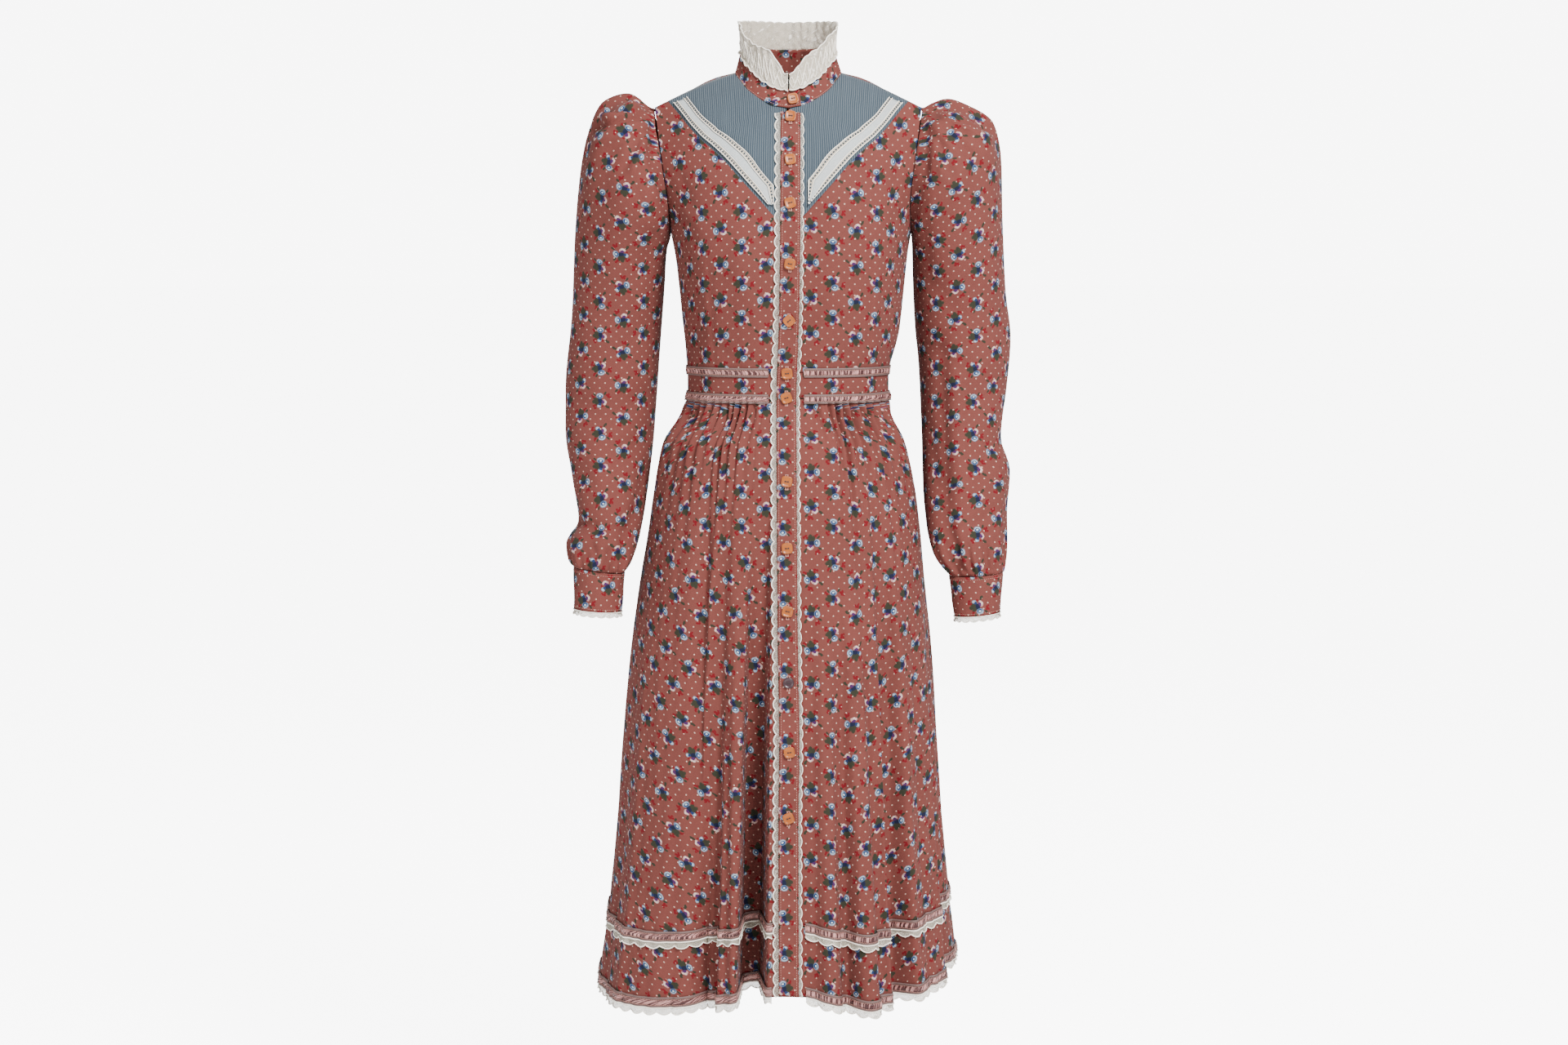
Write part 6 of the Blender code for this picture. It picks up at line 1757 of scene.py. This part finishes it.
def make_cuff(side, label, band):
    """A cuff, its stitching and its lace."""
    degrees = np.linspace(0, 360, CUFF_COLUMNS)
    down = np.linspace(0.0, 1.0, 14)
    points = cuff(side, band, degrees, down[:, None])[:, ::side]
    normal = normals_of(points, ring=True)
    dent = 0.0005 * np.sin(np.radians(degrees[::side]) * 5 + 1)[None] * np.sin(down * 7)[:, None]
    points = closed(points + normal * dent[..., None])
    cloth_map = flat_map(points, CUFF_COLUMNS // 2, (0.008, -0.3))
    piece = shell("cuff_cloth_" + label, points, cloth_map, CALICO, 0.0016, ring=True)
    wear(piece, ["cuff_" + label])
    lines = [points[row] + normal[row] * 0.0002 for row in (1, -2)]
    sew("cuff_stitches_" + label, lines, "calico", 0.00022, 0.0018, 0.0028)
    upper = cuff(side, band, np.linspace(0, 360, 420), 1.0)[::side]
    way = unit(points[-1].mean(axis=0) - points[0].mean(axis=0))
    from_middle = upper - upper.mean(axis=0)
    out = unit(from_middle - way * (from_middle @ way)[:, None])
    at = reached(upper[None], 1)[0]
    scalloped_lace("cuff_lace_cloth_" + label, "cuff_lace_" + label, upper,
                   upper + way * CUFF_LACE * CUFF_LACE_SHOWN, out, at, at[-1] / CUFF_SCALLOPS,
                   depth=0.0022, radius=0.0006, lift=0.0)


def make_sleeves():
    """Both sleeves, each with its cuff."""
    for side, label, table, band in ((-1, "left", SLEEVE_LEFT, CUFF_LEFT),
                                     (1, "right", SLEEVE_RIGHT, CUFF_RIGHT)):
        make_sleeve(side, label, table)
        make_cuff(side, label, band)


# ---- the studio ----

CAMERA = (-0.005, -3.5, -0.185)
CAMERA_TILT = 5.873       # degrees down
CAMERA_LENS = 65.97       # millimetres, on a 36 mm sensor
FLOOR = -1.45
FLOOR_REACH = 60.0
SKY_LIGHT = 0.66          # soft light from all round
SKY_SEEN = 8.0            # the white paper behind the dress
FLOOR_SEEN = 7.2          # and the paper under it, which the lamps light as well
LAMPS_AIM = (0.0, 0.0, -0.5)
# Lamps: name, place, width in metres, watts
LAMPS = (
    ("key", (1.35, -2.5, 1.9), 1.1, 300.0),
    ("fill", (-2.4, -2.4, 0.2), 2.0, 44.0),
    ("rim", (0.6, 2.8, 1.6), 1.8, 60.0),
)


def make_floor():
    """A wide floor of white paper, seen brighter than it lights the dress."""
    bpy.ops.mesh.primitive_circle_add(vertices=96, radius=FLOOR_REACH, fill_type="NGON",
                                      location=(0.0, 0.0, 0.0))
    floor = bpy.context.object
    floor.name = "studio_floor"
    for corner in floor.data.vertices:
        corner.co.z = FLOOR
    material, tree, shader, _ = new_finish("white_paper_floor", 0.95)
    shader.inputs["Base Color"].default_value = colour("FCFCFC")
    seen = add(tree, "ShaderNodeLightPath").outputs["Is Camera Ray"]
    shader.inputs["Emission Color"].default_value = colour("FFFFFF")
    tree.links.new(sums(tree, "MULTIPLY", seen, FLOOR_SEEN), shader.inputs["Emission Strength"])
    floor.data.materials.append(material)


def make_sky():
    """White paper all round, seen brighter than it lights the dress."""
    world = bpy.data.worlds.new("studio")
    world.use_nodes = True
    sky = world.node_tree.nodes["Background"]
    sky.inputs[0].default_value = colour("FFFFFF")
    seen = add(world.node_tree, "ShaderNodeLightPath").outputs["Is Camera Ray"]
    strength = sums(world.node_tree, "MULTIPLY_ADD", seen, SKY_SEEN - SKY_LIGHT, SKY_LIGHT)
    world.node_tree.links.new(strength, sky.inputs[1])
    bpy.context.scene.world = world


def make_lamps():
    """Round soft lamps, all aimed at the middle of the dress."""
    for name, place, size, power in LAMPS:
        light = bpy.data.lights.new(name, "AREA")
        light.shape = "DISK"
        light.size = size
        light.energy = power
        lamp = placed(name, light)
        lamp.location = place
        lamp.rotation_euler = (Vector(LAMPS_AIM) - Vector(place)).to_track_quat("-Z", "Y").to_euler()


def make_camera():
    """The photo's camera, worked out from the dress's own sizes."""
    camera = bpy.data.cameras.new("camera")
    camera.lens = CAMERA_LENS
    camera.sensor_width = 36.0
    seat = placed("camera", camera)
    seat.location = CAMERA
    seat.rotation_euler = (math.radians(90 - CAMERA_TILT), 0.0, 0.0)
    bpy.context.scene.camera = seat


make_bodice()
make_yoke_lace()
make_waistband()
make_waist_ribbons()
make_skirt()
make_skirt_trims()
make_buttons(*make_placket())
make_collar()
make_collar_lace()
make_sleeves()
make_floor()
make_sky()
make_lamps()
make_camera()
